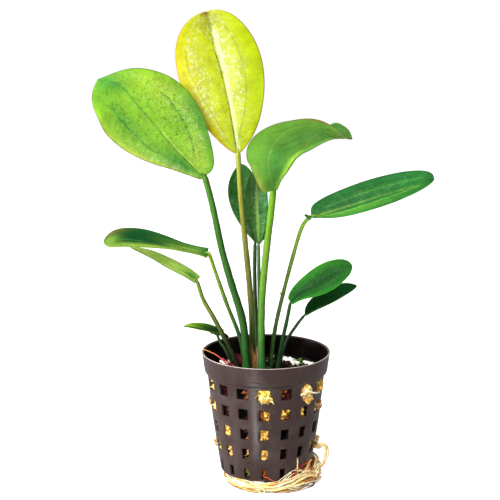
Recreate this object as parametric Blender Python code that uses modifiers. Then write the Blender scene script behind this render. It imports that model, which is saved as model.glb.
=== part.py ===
"""A potted echinodorus: eleven stalked leaves that rise from a short crown in a net pot.

The frame is in metres with +Z up. The origin lies on the surface that the plant stands on,
under the middle of the pot, and the front of the plant faces -Y. The tables are in millimetres.
"""

import math

import bmesh
import bpy
import numpy as np
from mathutils import Matrix

MM = 0.001
GAP = 0.3
MERGE_DISTANCE = 0.002
ORIGIN = (0.0, 0.0, 0.0)

# Net pot: heights above the ground, radii of the outside
POT_FLOOR_Z = 4.5
POT_RIM_Z = 57.0
POT_RIM_R = 27.5
POT_COLLAR_LOW_Z = 48.5
POT_COLLAR_LOW_R = 26.4
POT_WALL_TOP_R = 25.3
POT_WALL_MID_Z = 28.0
POT_WALL_MID_R = 23.0
POT_FOOT_R = 19.4
POT_WALL = 1.0
POT_FLOOR = 0.9
POT_STEPS = 48

# Windows in the pot's wall: columns around it, rows from the top down
HOLE_COLUMNS = 16
HOLE_FIRST_DEG = -2.0
HOLE_ROW_Z = 44.4
HOLE_ROW_PITCH = 9.15
HOLE_WIDTHS = (5.2, 4.5, 3.8, 3.2, 2.5)
HOLE_HEIGHT = 5.0
HOLE_CUT_DEPTH = 5.0

# Slots in the pot's floor
SLOT_COUNT = 8
SLOT_LENGTH = 7.0
SLOT_WIDTH = 2.4
SLOT_MID_R = 11.0

# Plug of rock wool, and the crown that sits in a hollow of its top
WOOL_TOP_Z = 47.5
WOOL_CLEARANCE = 0.5
WOOL_STEPS = 32
CROWN_MID = (-3.4, -0.6, 45.2)
CROWN_RADII = (11.4, 8.6, 3.4)
CROWN_SEGMENTS = 22
CROWN_RINGS = 9

# Roots: the mat under the pot, the loop at the right and the thin one over the rim
MAT_R = 21.2
MAT_SHIFT = (2.0, -1.0)
MAT_TOP_Z = 4.2
MAT_STEPS = 36
MAT_WAVE = 0.8
ROOT_LOOP = ((21.7, -5.4, 15.0), (23.3, -5.4, 16.6), (25.1, -5.2, 16.3), (26.1, -5.0, 13.6),
             (25.6, -4.8, 10.4), (24.4, -4.8, 7.4), (21.8, -5.0, 4.8))
ROOT_LOOP_RADII = (1.0, 1.0)
SURFACE_ROOT = ((-32.6, -1.0, 58.1), (-29.6, -1.0, 58.3), (-27.2, -1.0, 58.1), (-24.8, -1.2, 57.3),
                (-21.5, -2.3, 56.0), (-18.0, -4.0, 53.7), (-15.4, -5.2, 51.2), (-13.4, -6.0, 48.8))
SURFACE_ROOT_RADII = (0.2, 0.35)

# Withered sheaths between the stems, from the tip down to where they stand on the crown
SHEATHS = {
    "sheath_split": dict(path=((-8.0, -2.0, 63.8), (-6.6, -2.1, 59.5), (-5.2, -2.2, 54.0)),
                         foot=(-4.8, -2.3), radii=(0.2, 0.55)),
    "sheath_broken": dict(path=((-3.7, -4.0, 60.4), (-3.7, -3.9, 54.0)),
                          foot=(-3.9, -3.7), radii=(0.3, 0.5)),
}

# Leaves. midrib: from the base to the tip. faces: the way that the upper side looks, from the
# base to the tip. width, base, tip, fold, curl and lobe have a value for the left half and one
# for the right, seen from above with the tip ahead: the half width, how slowly it opens at the
# base and closes at the tip (0.5 is an ellipse), how far the half is folded up, how far it bends
# from the midrib to the edge, and how far the edge reaches back beside the stem. heel: how blunt
# the base is, as a share of the half width. steady: how much the cross lines keep one direction
# along a bent midrib. cells: the faces along and across. stem: the points from under the blade
# down. foot: where the stem stands on the crown, whose height there is worked out. stem_r: the
# stem's radius at the top and at the foot. colour, stem_colour: of the upper side and of the stem.
LEAVES = {
    "tall": dict(
        midrib=((-11.9, 5.0, 142.1), (-12.8, 5.0, 146.8), (-14.7, 6.5, 158.6), (-18.3, 11.0, 174.9),
                (-22.5, 17.0, 188.1), (-25.6, 24.0, 200.1)),
        faces=((0.0, -1.0, 0.25), (-0.1, -0.85, 0.55)),
        width=(19.2, 17.9), base=(0.82, 0.72), tip=(0.6, 0.48), fold=(26, 19), curl=(-20, -36),
        lobe=(0, 0), heel=0, steady=0, cells=(12, 6),
        stem=((-10.9, 4.6, 124.5), (-9.0, 3.6, 105.1), (-6.9, 2.4, 83.4), (-6.0, 1.4, 66.0)),
        foot=(-6.4, 0.6), stem_r=(1.05, 1.3),
        colour=(0.68, 0.65, 0.03), stem_colour=(0.22, 0.19, 0.05)),
    "upper_left": dict(
        midrib=((-25.7, -6.0, 134.0), (-31.9, -7.5, 141.1), (-42.1, -10.0, 153.0),
                (-52.3, -12.0, 164.9), (-60.0, -13.3, 172.9), (-69.4, -14.0, 177.0)),
        faces=((0.1, -1.0, 0.35), (-0.2, -0.9, 0.6)),
        width=(21.0, 20.8), base=(1.22, 0.95), tip=(0.51, 1.0), fold=(14, 17), curl=(18, -48),
        lobe=(3.0, 3.4), heel=0, steady=0.7, cells=(12, 6),
        stem=((-22.4, -6.0, 121.1), (-18.7, -5.8, 103.0), (-14.9, -5.4, 88.9),
              (-10.1, -5.0, 72.2), (-8.6, -4.4, 57.8)),
        foot=(-8.2, -4.0), stem_r=(1.2, 1.7),
        colour=(0.26, 0.51, 0.06), stem_colour=(0.3, 0.48, 0.08)),
    "folded": dict(
        midrib=((2.9, -13.5, 130.4), (4.7, -14.5, 134.9), (7.6, -16.0, 139.3), (12.0, -18.5, 146.0),
                (18.0, -20.0, 149.5), (25.9, -20.5, 153.4), (32.0, -19.5, 153.5), (35.2, -19.0, 152.8)),
        faces=((-0.7, 0.15, -0.45), (-0.1, 0.5, 0.8), (0.45, 0.0, 0.25)),
        width=(11.6, 21.5), base=(1.3, 0.48), tip=(0.6, 0.8), fold=(28, 22), curl=(-5, -5),
        lobe=(0.6, 0.6), heel=0, steady=0, cells=(12, 6),
        stem=((1.5, -12.6, 117.5), (-0.4, -10.8, 99.8), (-1.8, -9.0, 82.0), (-2.0, -7.0, 63.9)),
        foot=(-1.7, -5.5), stem_r=(1.45, 1.5),
        colour=(0.3, 0.58, 0.11), stem_colour=(0.46, 0.64, 0.08)),
    "rear": dict(
        midrib=((-4.7, 14.0, 101.4), (-6.4, 15.5, 109.0), (-8.2, 17.5, 119.6), (-9.5, 20.0, 127.9),
                (-10.8, 22.5, 134.4)),
        faces=((0.0, -1.0, 0.2), (0.0, -0.9, 0.4)),
        width=(7.8, 7.8), base=(1.1, 0.28), tip=(0.7, 0.56), fold=(12, 10), curl=(-10, -10),
        lobe=(0, 0), heel=0, steady=0, cells=(10, 4),
        stem=((-4.9, 12.0, 89.9), (-4.5, 9.6, 74.9), (-3.6, 6.6, 57.8)),
        foot=(-3.8, 4.8), stem_r=(0.8, 0.95),
        colour=(0.03, 0.13, 0.05), stem_colour=(0.1, 0.13, 0.02)),
    "rear_narrow": dict(
        midrib=((-3.2, 10.5, 101.3), (-3.9, 11.5, 107.7), (-4.3, 12.5, 116.3), (-4.3, 14.0, 124.7),
                (-3.9, 16.0, 133.1)),
        faces=((0.0, -1.0, 0.2), (0.0, -0.9, 0.4)),
        width=(4.6, 5.3), base=(0.86, 0.62), tip=(0.52, 0.5), fold=(12, 12), curl=(0, 0),
        lobe=(0.3, 0.3), heel=0, steady=0, cells=(8, 4),
        stem=((-3.0, 8.2, 86.4), (-2.8, 5.4, 69.3)),
        foot=(-3.0, 1.5), stem_r=(0.75, 0.8),
        colour=(0.09, 0.16, 0.05), stem_colour=(0.08, 0.26, 0.03)),
    "right_long": dict(
        midrib=((19.1, 4.0, 115.3), (25.0, 3.5, 116.3), (33.4, 2.0, 119.2), (45.9, -1.0, 124.4),
                (58.2, -4.0, 129.3), (70.3, -7.0, 133.8)),
        faces=((0.0, -0.55, 0.85), (0.0, -0.5, 0.9)),
        width=(9.6, 8.3), base=(0.26, 0.86), tip=(0.36, 0.52), fold=(17, 10), curl=(3, -3),
        lobe=(0, 0), heel=0, steady=0, cells=(12, 6),
        stem=((15.5, 4.0, 111.2), (12.2, 3.6, 100.7), (7.7, 2.8, 83.3), (3.9, 1.8, 66.3)),
        foot=(1.5, 1.0), stem_r=(0.8, 0.9),
        colour=(0.05, 0.22, 0.06), stem_colour=(0.35, 0.4, 0.08)),
    "lower_right": dict(
        midrib=((10.3, -5.0, 79.6), (14.3, -6.5, 84.0), (20.6, -8.5, 88.4), (28.9, -11.0, 93.8),
                (36.1, -13.5, 97.8)),
        faces=((0.0, -0.6, 0.8), (0.0, -0.6, 0.8)),
        width=(7.7, 7.3), base=(0.66, 0.92), tip=(0.52, 0.47), fold=(10, 7), curl=(-2, -10),
        lobe=(1.7, 1.5), heel=0, steady=0, cells=(10, 6),
        stem=((8.9, -4.4, 72.0), (6.6, -2.8, 60.5)),
        foot=(4.5, -1.0), stem_r=(0.75, 0.85),
        colour=(0.08, 0.3, 0.06), stem_colour=(0.19, 0.3, 0.06)),
    "dark_right": dict(
        midrib=((16.8, 5.0, 71.9), (21.1, 6.0, 74.5), (27.6, 7.5, 77.7), (34.1, 9.0, 80.9),
                (39.3, 10.5, 83.2)),
        faces=((0.0, -0.5, 0.85), (0.0, -0.5, 0.85)),
        width=(6.3, 3.4), base=(0.63, 0.7), tip=(0.62, 0.6), fold=(8, 20), curl=(0, 5),
        lobe=(0, 2), heel=0, steady=0, cells=(8, 4),
        stem=((12.9, 4.4, 66.9), (9.1, 4.0, 60.8), (6.5, 3.5, 52.9)),
        foot=(5.7, 3.2), stem_r=(0.6, 0.75),
        colour=(0.01, 0.06, 0.03), stem_colour=(0.05, 0.1, 0.03)),
    "left_dark": dict(
        midrib=((-24.4, -3.0, 100.9), (-34.3, -4.0, 103.2), (-42.1, -5.0, 105.6),
                (-53.2, -6.0, 108.2), (-62.4, -7.5, 109.0), (-68.5, -8.5, 107.0)),
        faces=((0.0, -0.1, 1.0), (-0.1, -0.1, 1.0)),
        width=(8.0, 6.6), base=(1.36, 1.2), tip=(0.34, 0.59), fold=(-6, 15), curl=(-19, 11),
        lobe=(1.0, 2.8), heel=0.7, steady=0, cells=(12, 6),
        stem=((-22.4, -2.6, 95.2), (-20.1, -1.9, 88.1), (-16.3, -0.8, 76.8), (-12.0, 0.2, 65.4),
              (-9.9, 0.8, 56.3)),
        foot=(-9.7, 1.0), stem_r=(0.75, 0.9),
        colour=(0.05, 0.19, 0.06), stem_colour=(0.3, 0.38, 0.06)),
    "left_pale": dict(
        midrib=((-29.5, 0.0, 88.2), (-34.5, 1.5, 91.5), (-42.5, 3.5, 95.5), (-49.6, 5.0, 98.7),
                (-58.3, 7.5, 101.1)),
        faces=((0.0, -0.2, 1.0), (-0.1, -0.2, 1.0)),
        width=(4.9, 4.6), base=(0.56, 0.26), tip=(0.95, 0.62), fold=(6, 4), curl=(-1, -6),
        lobe=(2.6, 1.8), heel=0, steady=0, cells=(10, 4),
        stem=((-26.9, -0.5, 80.2), (-22.7, -1.3, 72.7), (-18.0, -2.2, 63.9), (-13.7, -3.0, 54.8)),
        foot=(-11.6, -3.2), stem_r=(0.75, 1.2),
        colour=(0.4, 0.55, 0.1), stem_colour=(0.3, 0.43, 0.07)),
    "small": dict(
        midrib=((-21.5, 1.0, 65.4), (-24.9, 1.5, 66.2), (-28.3, 2.0, 66.7), (-32.7, 3.0, 67.1),
                (-35.5, 3.8, 66.9)),
        faces=((0.0, -0.3, 1.0), (0.0, -0.3, 1.0)),
        width=(2.8, 3.6), base=(0.36, 0.42), tip=(0.8, 0.66), fold=(14, 9), curl=(0, 0),
        lobe=(4.5, 4.5), heel=0, steady=0, cells=(8, 4),
        stem=((-19.8, 0.9, 61.0), (-17.6, 0.6, 57.7), (-15.1, 1.2, 51.8)),
        foot=(-14.0, 1.8), stem_r=(0.55, 0.6),
        colour=(0.03, 0.09, 0.03), stem_colour=(0.06, 0.11, 0.04)),
}
LEAF_ROUGHNESS = 0.4
STEM_ROUGHNESS = 0.45
BLADE_THICKNESS = 0.7
LOBE_SPAN = 0.08
HEEL_RISE = 0.04
STEM_GAP = 0.5
STEM_POINTS = 11
SEAT_STEPS = 12
CURVE_SAMPLES = 201


def clear_scene():
    for obj in list(bpy.data.objects):
        bpy.data.objects.remove(obj, do_unlink=True)


def metres(values):
    return tuple(float(value) * MM for value in values)


def new_collection(name):
    collection = bpy.data.collections.new(name)
    bpy.context.scene.collection.children.link(collection)
    return collection


def make_material(name, colour, roughness):
    """A Principled BSDF with the piece's plain colour; nothing on this object is metal."""
    material = bpy.data.materials.new(name)
    material.use_nodes = True
    shader = material.node_tree.nodes["Principled BSDF"]
    shader.inputs["Base Color"].default_value = (*colour, 1.0)
    shader.inputs["Roughness"].default_value = roughness
    shader.inputs["Metallic"].default_value = 0.0
    return material


def add_object(name, data, place, material, collection):
    """Places are in millimetres."""
    obj = bpy.data.objects.new(name, data)
    obj.location = metres(place)
    collection.objects.link(obj)
    data.materials.append(material)
    return obj


def add_solid(name, bm, place, material, collection):
    mesh = bpy.data.meshes.new(name)
    bm.to_mesh(mesh)
    bm.free()
    mesh.shade_smooth()
    return add_object(name, mesh, place, material, collection)


def add_cutter(name, bm, place, cutters):
    mesh = bpy.data.meshes.new(name)
    bm.to_mesh(mesh)
    bm.free()
    cutter = bpy.data.objects.new(name, mesh)
    cutter.location = metres(place)
    cutter.hide_render = True
    cutter.display_type = "WIRE"
    cutters.objects.link(cutter)
    return cutter


def cut(obj, cutter):
    modifier = obj.modifiers.new(cutter.name, "BOOLEAN")
    modifier.operation = "DIFFERENCE"
    modifier.solver = "EXACT"
    modifier.object = cutter


def turned(name, profile, steps, material, collection):
    """A profile of (radius, height) points, turned once about Z; it runs down its outer side."""
    mesh = bpy.data.meshes.new(name)
    points = [(radius * MM, 0.0, height * MM) for radius, height in profile]
    edges = [(i, i + 1) for i in range(len(points) - 1)]
    mesh.from_pydata(points, edges, [])
    obj = add_object(name, mesh, ORIGIN, material, collection)
    screw = obj.modifiers.new("turn", "SCREW")
    screw.steps = steps
    screw.render_steps = steps
    screw.use_merge_vertices = True
    screw.merge_threshold = MERGE_DISTANCE * MM
    screw.use_smooth_shade = True
    return obj


def curve_samples(points):
    """Many even points on a smooth curve through the given points (a Catmull-Rom spline)."""
    given = np.array(points, dtype=float)
    given = np.vstack([2 * given[0] - given[1], given, 2 * given[-1] - given[-2]])
    t = np.linspace(0.0, 1.0, 40, endpoint=False)[:, None]
    spans = []
    for a, b, c, d in zip(given, given[1:], given[2:], given[3:]):
        spans.append(0.5 * (2 * b + (c - a) * t + (2 * a - 5 * b + 4 * c - d) * t ** 2
                            + (3 * b - a - 3 * c + d) * t ** 3))
    fine = np.vstack(spans + [given[-2][None]])
    steps = np.linalg.norm(np.diff(fine, axis=0), axis=1)
    length = np.concatenate([[0.0], np.cumsum(steps)]) / steps.sum()
    return read_at(np.linspace(0.0, 1.0, CURVE_SAMPLES), length, fine)


def read_at(wanted, known, values):
    return np.stack([np.interp(wanted, known, values[:, k]) for k in range(3)], axis=1)


def unit(vectors):
    return vectors / np.linalg.norm(vectors, axis=-1, keepdims=True)


def tube(name, points, radii, count, material, collection):
    """A round stem along a smooth curve, from the first radius to the last.

    The object's origin is the curve's last point, where the piece grows from.
    """
    samples = curve_samples(points)
    foot = samples[-1]
    picked = (samples - foot)[np.linspace(0, len(samples) - 1, count).round().astype(int)]
    data = bpy.data.curves.new(name, "CURVE")
    data.dimensions = "3D"
    data.bevel_depth = max(radii) * MM
    data.bevel_resolution = 2
    data.use_fill_caps = True
    spline = data.splines.new("POLY")
    spline.points.add(count - 1)
    for i, place in enumerate(picked):
        share = i / (count - 1)
        radius = radii[0] + (radii[1] - radii[0]) * share
        spline.points[i].co = (*metres(place), 1.0)
        spline.points[i].radius = radius / max(radii)
    return add_object(name, data, foot, material, collection)


def smooth_step(share):
    share = np.clip(share, 0.0, 1.0)
    return share * share * (3.0 - 2.0 * share)


def face_directions(faces, along):
    """The way the upper side looks at each place along the leaf, eased from hint to hint."""
    hints = unit(np.array(faces, dtype=float))
    spans = len(hints) - 1
    looking = np.repeat(hints[:1], len(along), axis=0)
    for i in range(spans):
        looking = looking + smooth_step(spans * along - i)[:, None] * (hints[i + 1] - hints[i])
    return unit(looking)


def blade_points(leaf, along, across):
    """Places on a blade: along runs from base (0) to tip (1), across from left (-1) to right (1).

    Each half is an arc that leaves the midrib at the fold angle and bends by the curl angle
    over the half width. The half width opens and closes as two powers of the length.
    """
    midrib = curve_samples(leaf["midrib"])
    even = np.linspace(0.0, 1.0, CURVE_SAMPLES)
    ahead = read_at(along, even, unit(np.gradient(midrib, axis=0)))
    chord = unit(midrib[-1] - midrib[0])
    ahead = unit((1.0 - leaf["steady"]) * ahead + leaf["steady"] * chord)
    side = unit(np.cross(ahead, face_directions(leaf["faces"], along)))
    upward = np.cross(side, ahead)

    left = across < 0
    half = {key: np.where(left, *leaf[key]) for key in ("width", "base", "tip", "fold", "curl")}
    widest = half["base"] / (half["base"] + half["tip"])
    opening = (along / widest) ** half["base"] * ((1.0 - along) / (1.0 - widest)) ** half["tip"]
    opening = opening + leaf["heel"] * (1.0 - along) ** 6 * np.sqrt(np.clip(along / HEEL_RISE, 0.0, 1.0))
    reach = opening * np.abs(across)
    bend = np.radians(half["curl"]) * reach / 2.0
    angle = np.radians(half["fold"]) + bend
    chord_length = reach * half["width"] * np.sinc(bend / math.pi)
    out = chord_length * np.cos(angle) * np.sign(across)
    lift = chord_length * np.sin(angle)
    step = along / LOBE_SPAN
    back = np.where(left, *leaf["lobe"]) * (across * step * np.exp(1.0 - step)) ** 2
    return (read_at(along, even, midrib) + out[:, None] * side + lift[:, None] * upward
            - back[:, None] * ahead)


def make_blade(name, leaf, material, collection):
    """A flat grid moved to the blade's shape and thickened; its origin is the blade's base."""
    rows, columns = leaf["cells"]
    bm = bmesh.new()
    bmesh.ops.create_grid(bm, x_segments=columns, y_segments=rows, size=1.0)
    grid = np.array([vertex.co for vertex in bm.verts], dtype=float)
    along = (1.0 - np.cos(math.pi * (grid[:, 1] + 1.0) / 2.0)) / 2.0
    base = leaf["midrib"][0]
    for vertex, place in zip(bm.verts, blade_points(leaf, along, grid[:, 0]) - base):
        vertex.co = metres(place)
    bmesh.ops.remove_doubles(bm, verts=bm.verts, dist=MERGE_DISTANCE * MM)
    obj = add_solid(name, bm, base, material, collection)
    shell = obj.modifiers.new("thickness", "SOLIDIFY")
    shell.thickness = BLADE_THICKNESS * MM
    shell.offset = 0.0
    return obj


def crown_top(x, y):
    """The height of the crown, or of the wool where that covers it."""
    share = (((x - CROWN_MID[0]) / CROWN_RADII[0]) ** 2 + ((y - CROWN_MID[1]) / CROWN_RADII[1]) ** 2)
    dome = CROWN_MID[2] + CROWN_RADII[2] * math.sqrt(max(0.0, 1.0 - share))
    return max(dome, WOOL_TOP_Z)


def seated(path, foot, radius):
    """The path with its foot set just clear of the crown, all round the end of a leaning tube."""
    x, y = foot
    turns = [2.0 * math.pi * i / SEAT_STEPS for i in range(SEAT_STEPS)]
    heights = [crown_top(x + radius * math.cos(turn), y + radius * math.sin(turn)) for turn in turns]
    last = path[-1]
    lean = math.hypot(last[0] - x, last[1] - y) / (last[2] - WOOL_TOP_Z)
    return [*path, (x, y, max(heights) + radius * lean + GAP)]


def make_stem(name, leaf, material, collection):
    base = np.array(leaf["midrib"][0])
    down = unit(np.array(leaf["stem"][0]) - base)
    top = base + STEM_GAP * down
    path = seated([top, *leaf["stem"]], leaf["foot"], leaf["stem_r"][1])
    return tube(name, path, leaf["stem_r"], STEM_POINTS, material, collection)


def wall_radius(z):
    """The outside radius of the slatted wall at a height."""
    heights = (POT_FLOOR_Z, POT_WALL_MID_Z, POT_COLLAR_LOW_Z)
    radii = (POT_FOOT_R, POT_WALL_MID_R, POT_WALL_TOP_R)
    return float(np.interp(z, heights, radii))


def make_pot(material, collection, cutters):
    floor_z = POT_FLOOR_Z + POT_FLOOR
    profile = [
        (0.0, floor_z),
        (wall_radius(floor_z) - POT_WALL, floor_z),
        (POT_WALL_MID_R - POT_WALL, POT_WALL_MID_Z),
        (POT_WALL_TOP_R - POT_WALL, POT_COLLAR_LOW_Z),
        (POT_RIM_R - POT_WALL, POT_RIM_Z),
        (POT_RIM_R, POT_RIM_Z),
        (POT_COLLAR_LOW_R, POT_COLLAR_LOW_Z),
        (POT_WALL_TOP_R, POT_COLLAR_LOW_Z),
        (POT_WALL_MID_R, POT_WALL_MID_Z),
        (POT_FOOT_R, POT_FLOOR_Z),
        (0.0, POT_FLOOR_Z),
    ]
    pot = turned("net_pot", profile, POT_STEPS, material, collection)

    windows = bmesh.new()
    for row, width in enumerate(HOLE_WIDTHS):
        z = HOLE_ROW_Z - row * HOLE_ROW_PITCH
        radius = wall_radius(z) - POT_WALL / 2.0
        for column in range(HOLE_COLUMNS):
            degrees = HOLE_FIRST_DEG + column * 360.0 / HOLE_COLUMNS
            turn = Matrix.Rotation(math.radians(degrees), 4, "Z")
            place = Matrix.Translation((0.0, -radius * MM, z * MM))
            size = Matrix.Diagonal((*metres((width, HOLE_CUT_DEPTH, HOLE_HEIGHT)), 1.0))
            bmesh.ops.create_cube(windows, size=1.0, matrix=turn @ place @ size)
    cut(pot, add_cutter("windows", windows, ORIGIN, cutters))

    slots = bmesh.new()
    for i in range(SLOT_COUNT):
        turn = Matrix.Rotation(2.0 * math.pi * i / SLOT_COUNT, 4, "Z")
        place = Matrix.Translation((SLOT_MID_R * MM, 0.0, POT_FLOOR_Z * MM))
        size = Matrix.Diagonal((*metres((SLOT_LENGTH, SLOT_WIDTH, HOLE_CUT_DEPTH)), 1.0))
        bmesh.ops.create_cube(slots, size=1.0, matrix=turn @ place @ size)
    cut(pot, add_cutter("floor_slots", slots, ORIGIN, cutters))
    return pot


def ellipsoid(radii):
    bm = bmesh.new()
    bmesh.ops.create_uvsphere(bm, u_segments=CROWN_SEGMENTS, v_segments=CROWN_RINGS, radius=1.0,
                              matrix=Matrix.Diagonal((*metres(radii), 1.0)))
    return bm


def make_wool(material, collection, cutters):
    inset = POT_WALL + WOOL_CLEARANCE
    floor_z = POT_FLOOR_Z + POT_FLOOR + GAP
    profile = [
        (0.0, WOOL_TOP_Z),
        (wall_radius(WOOL_TOP_Z) - inset, WOOL_TOP_Z),
        (POT_WALL_MID_R - inset, POT_WALL_MID_Z),
        (wall_radius(floor_z) - inset, floor_z),
        (0.0, floor_z),
    ]
    wool = turned("wool_plug", profile, WOOL_STEPS, material, collection)
    hollow = [radius + GAP for radius in CROWN_RADII]
    cut(wool, add_cutter("crown_hollow", ellipsoid(hollow), CROWN_MID, cutters))
    return wool


def make_mat(material, collection):
    """The mat of roots: a flat turned disc whose edge wanders in and out around it."""
    profile = [
        (0.0, MAT_TOP_Z),
        (MAT_R - 2.0, MAT_TOP_Z),
        (MAT_R - 0.5, MAT_TOP_Z * 0.75),
        (MAT_R, MAT_TOP_Z * 0.4),
        (MAT_R - 0.8, 0.0),
        (0.0, 0.0),
    ]
    disc = turned("disc", profile, MAT_STEPS, material, collection)
    graph = bpy.context.evaluated_depsgraph_get()
    mesh = bpy.data.meshes.new_from_object(disc.evaluated_get(graph))
    bpy.data.objects.remove(disc, do_unlink=True)

    places = np.empty(len(mesh.vertices) * 3)
    mesh.vertices.foreach_get("co", places)
    places = places.reshape(-1, 3)
    angle = np.arctan2(places[:, 1], places[:, 0])
    waves = np.sin(3.0 * angle + 0.6) + 0.6 * np.sin(7.0 * angle + 2.0)
    share = np.hypot(places[:, 0], places[:, 1]) / (MAT_R * MM)
    places[:, :2] *= (1.0 + MAT_WAVE / MAT_R * waves * share)[:, None]
    mesh.vertices.foreach_set("co", places.ravel())
    mesh.materials.clear()
    return add_object("root_mat", mesh, (*MAT_SHIFT, 0.0), material, collection)


def main():
    clear_scene()
    parts = new_collection("potted_echinodorus")
    cutters = new_collection("cutters")
    pot_plastic = make_material("pot_plastic", (0.075, 0.06, 0.058), 0.35)
    wool_fibre = make_material("wool_fibre", (0.62, 0.42, 0.16), 0.9)
    crown_tissue = make_material("crown_tissue", (0.25, 0.24, 0.1), 0.7)
    sheath_brown = make_material("sheath_brown", (0.27, 0.13, 0.05), 0.7)
    root_pale = make_material("root_pale", (0.72, 0.52, 0.26), 0.7)
    root_cream = make_material("root_cream", (0.78, 0.6, 0.34), 0.6)
    root_red = make_material("root_red", (0.5, 0.05, 0.06), 0.5)

    make_pot(pot_plastic, parts, cutters)
    make_wool(wool_fibre, parts, cutters)
    add_solid("crown", ellipsoid(CROWN_RADII), CROWN_MID, crown_tissue, parts)
    for key, leaf in LEAVES.items():
        leaf_skin = make_material("leaf_" + key, leaf["colour"], LEAF_ROUGHNESS)
        stem_skin = make_material("stem_" + key, leaf["stem_colour"], STEM_ROUGHNESS)
        make_blade("leaf_" + key, leaf, leaf_skin, parts)
        make_stem("stem_" + key, leaf, stem_skin, parts)
    for key, sheath in SHEATHS.items():
        path = seated(sheath["path"], sheath["foot"], sheath["radii"][1])
        tube(key, path, sheath["radii"], 6, sheath_brown, parts)
    make_mat(root_pale, parts)
    tube("root_loop", ROOT_LOOP, ROOT_LOOP_RADII, 12, root_cream, parts)
    tube("surface_root", SURFACE_ROOT, SURFACE_ROOT_RADII, 14, root_red, parts)

    plant = bpy.data.objects.new("potted_echinodorus", None)
    parts.objects.link(plant)
    for obj in parts.objects:
        if obj is not plant:
            obj.parent = plant


main()
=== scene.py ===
"""Looks of the potted echinodorus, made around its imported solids.

The tables are in millimetres, in the frame of the part: the origin lies under the middle of the
pot, +Z is up and the front faces -Y. Colours are linear.
"""

import math

import bpy
import numpy as np
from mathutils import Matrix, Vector


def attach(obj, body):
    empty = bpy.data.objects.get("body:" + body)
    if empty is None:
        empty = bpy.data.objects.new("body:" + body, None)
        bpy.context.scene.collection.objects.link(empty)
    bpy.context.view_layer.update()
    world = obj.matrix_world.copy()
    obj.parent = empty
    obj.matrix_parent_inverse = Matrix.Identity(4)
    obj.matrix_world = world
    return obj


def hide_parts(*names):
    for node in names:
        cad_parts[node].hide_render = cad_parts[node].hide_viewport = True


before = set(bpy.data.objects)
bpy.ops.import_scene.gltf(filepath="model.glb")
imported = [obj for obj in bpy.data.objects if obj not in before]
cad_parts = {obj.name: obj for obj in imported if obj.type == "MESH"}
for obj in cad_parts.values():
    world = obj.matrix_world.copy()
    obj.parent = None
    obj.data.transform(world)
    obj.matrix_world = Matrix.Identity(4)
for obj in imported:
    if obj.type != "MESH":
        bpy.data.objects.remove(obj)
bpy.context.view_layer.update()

MM = 0.001

# Camera and lights
CAMERA_PLACE = (-6.87, -900.0, 314.5)
CAMERA_AIM = (-6.87, 0.0, 101.6)
CAMERA_LENS = 156.7
CAMERA_SENSOR = 36.0
CAMERA_REACH = 20000.0

# Lamps, with their power in watts: gloss_only ones show in reflections alone, and matt_only ones
# don't show in them
LAMPS = {
    "streak_strip": dict(place=(-17, -51, 14), aim=(-5, -24, 27), size=(4, 40), power=0.008, gloss_only=True),
    "low_window": dict(place=(-420, -900, 260), aim=(0, 0, 40), size=(200, 520), power=4.0),
    "key": dict(place=(-480, -760, 720), aim=(0, 0, 110), size=(520, 420), power=13.0),
    "gloss_window": dict(place=(380, -740, 560), aim=(-20, 5, 170), size=(150, 260), power=1.8),
    "left_side": dict(place=(-900, 40, 260), aim=(0, 0, 60), size=(420, 520), power=10.0),
    "right_side": dict(place=(880, -160, 380), aim=(0, 0, 90), size=(300, 400), power=2.4),
    "back_glow": dict(place=(-120, 420, 980), aim=(-10, 0, 130), size=(460, 360), power=6.0, matt_only=True),
}
AMBIENT_FRONT = 0.36
AMBIENT_BACK = 0.1
FLOOR_REACH = 700.0
FLOOR_SEEN = 0.6
FLOOR_GLOW = 0.7
FLOOR_BOUNCE = 0.28

# Pot: the same sizes as its solid
POT_FLOOR_Z = 4.5
POT_RIM_Z = 57.0
POT_RIM_R = 27.5
POT_COLLAR_LOW_Z = 48.5
POT_COLLAR_LOW_R = 26.4
POT_WALL_TOP_R = 25.3
POT_WALL_MID_Z = 28.0
POT_WALL_MID_R = 23.0
POT_FOOT_R = 19.4
POT_WALL = 1.0
POT_EDGE = 0.2
POT_EDGE_ANGLE = 50.0
POT_RELIEF = 0.06
CELLS_ACROSS = 4
HOLE_COLUMNS = 16
HOLE_PITCH_DEG = 360.0 / HOLE_COLUMNS
HOLE_FIRST_DEG = -2.0
HOLE_ROW_Z = 44.4
HOLE_ROW_PITCH = 9.15
HOLE_WIDTHS = (5.2, 4.5, 3.8, 3.2, 2.5)
HOLE_HEIGHT = 5.0
SLOT_COUNT = 8
SLOT_REACH = (7.5, 14.5)
SLOT_WIDTH = 2.4

# What shows in the windows, as a letter for the left and the right half of each, from the top row
# down and for the nine columns from the left edge to the right edge of the front: Yellow, Tan,
# Orange, Maroon, Green, blacK for painted shadow where the plug stands far back, and tufts that
# poke out, Pale yellow and Cream
WINDOW_FILL = (
    ("TT", "MY", "MM", "KO", "PP", "OM", "CC", "YT", "TG"),
    ("OT", "YY", "MO", "KM", "OY", "YO", "YK", "KT", "TT"),
    ("KK", "KT", "YY", "KO", "YY", "KK", "MM", "KK", "TK"),
    ("TT", "YY", "TT", "KT", "YT", "KM", "KK", "KT", "TT"),
    ("KK", "KK", "KM", "GM", "OO", "KM", "MM", "KT", "KT"),
)
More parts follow.
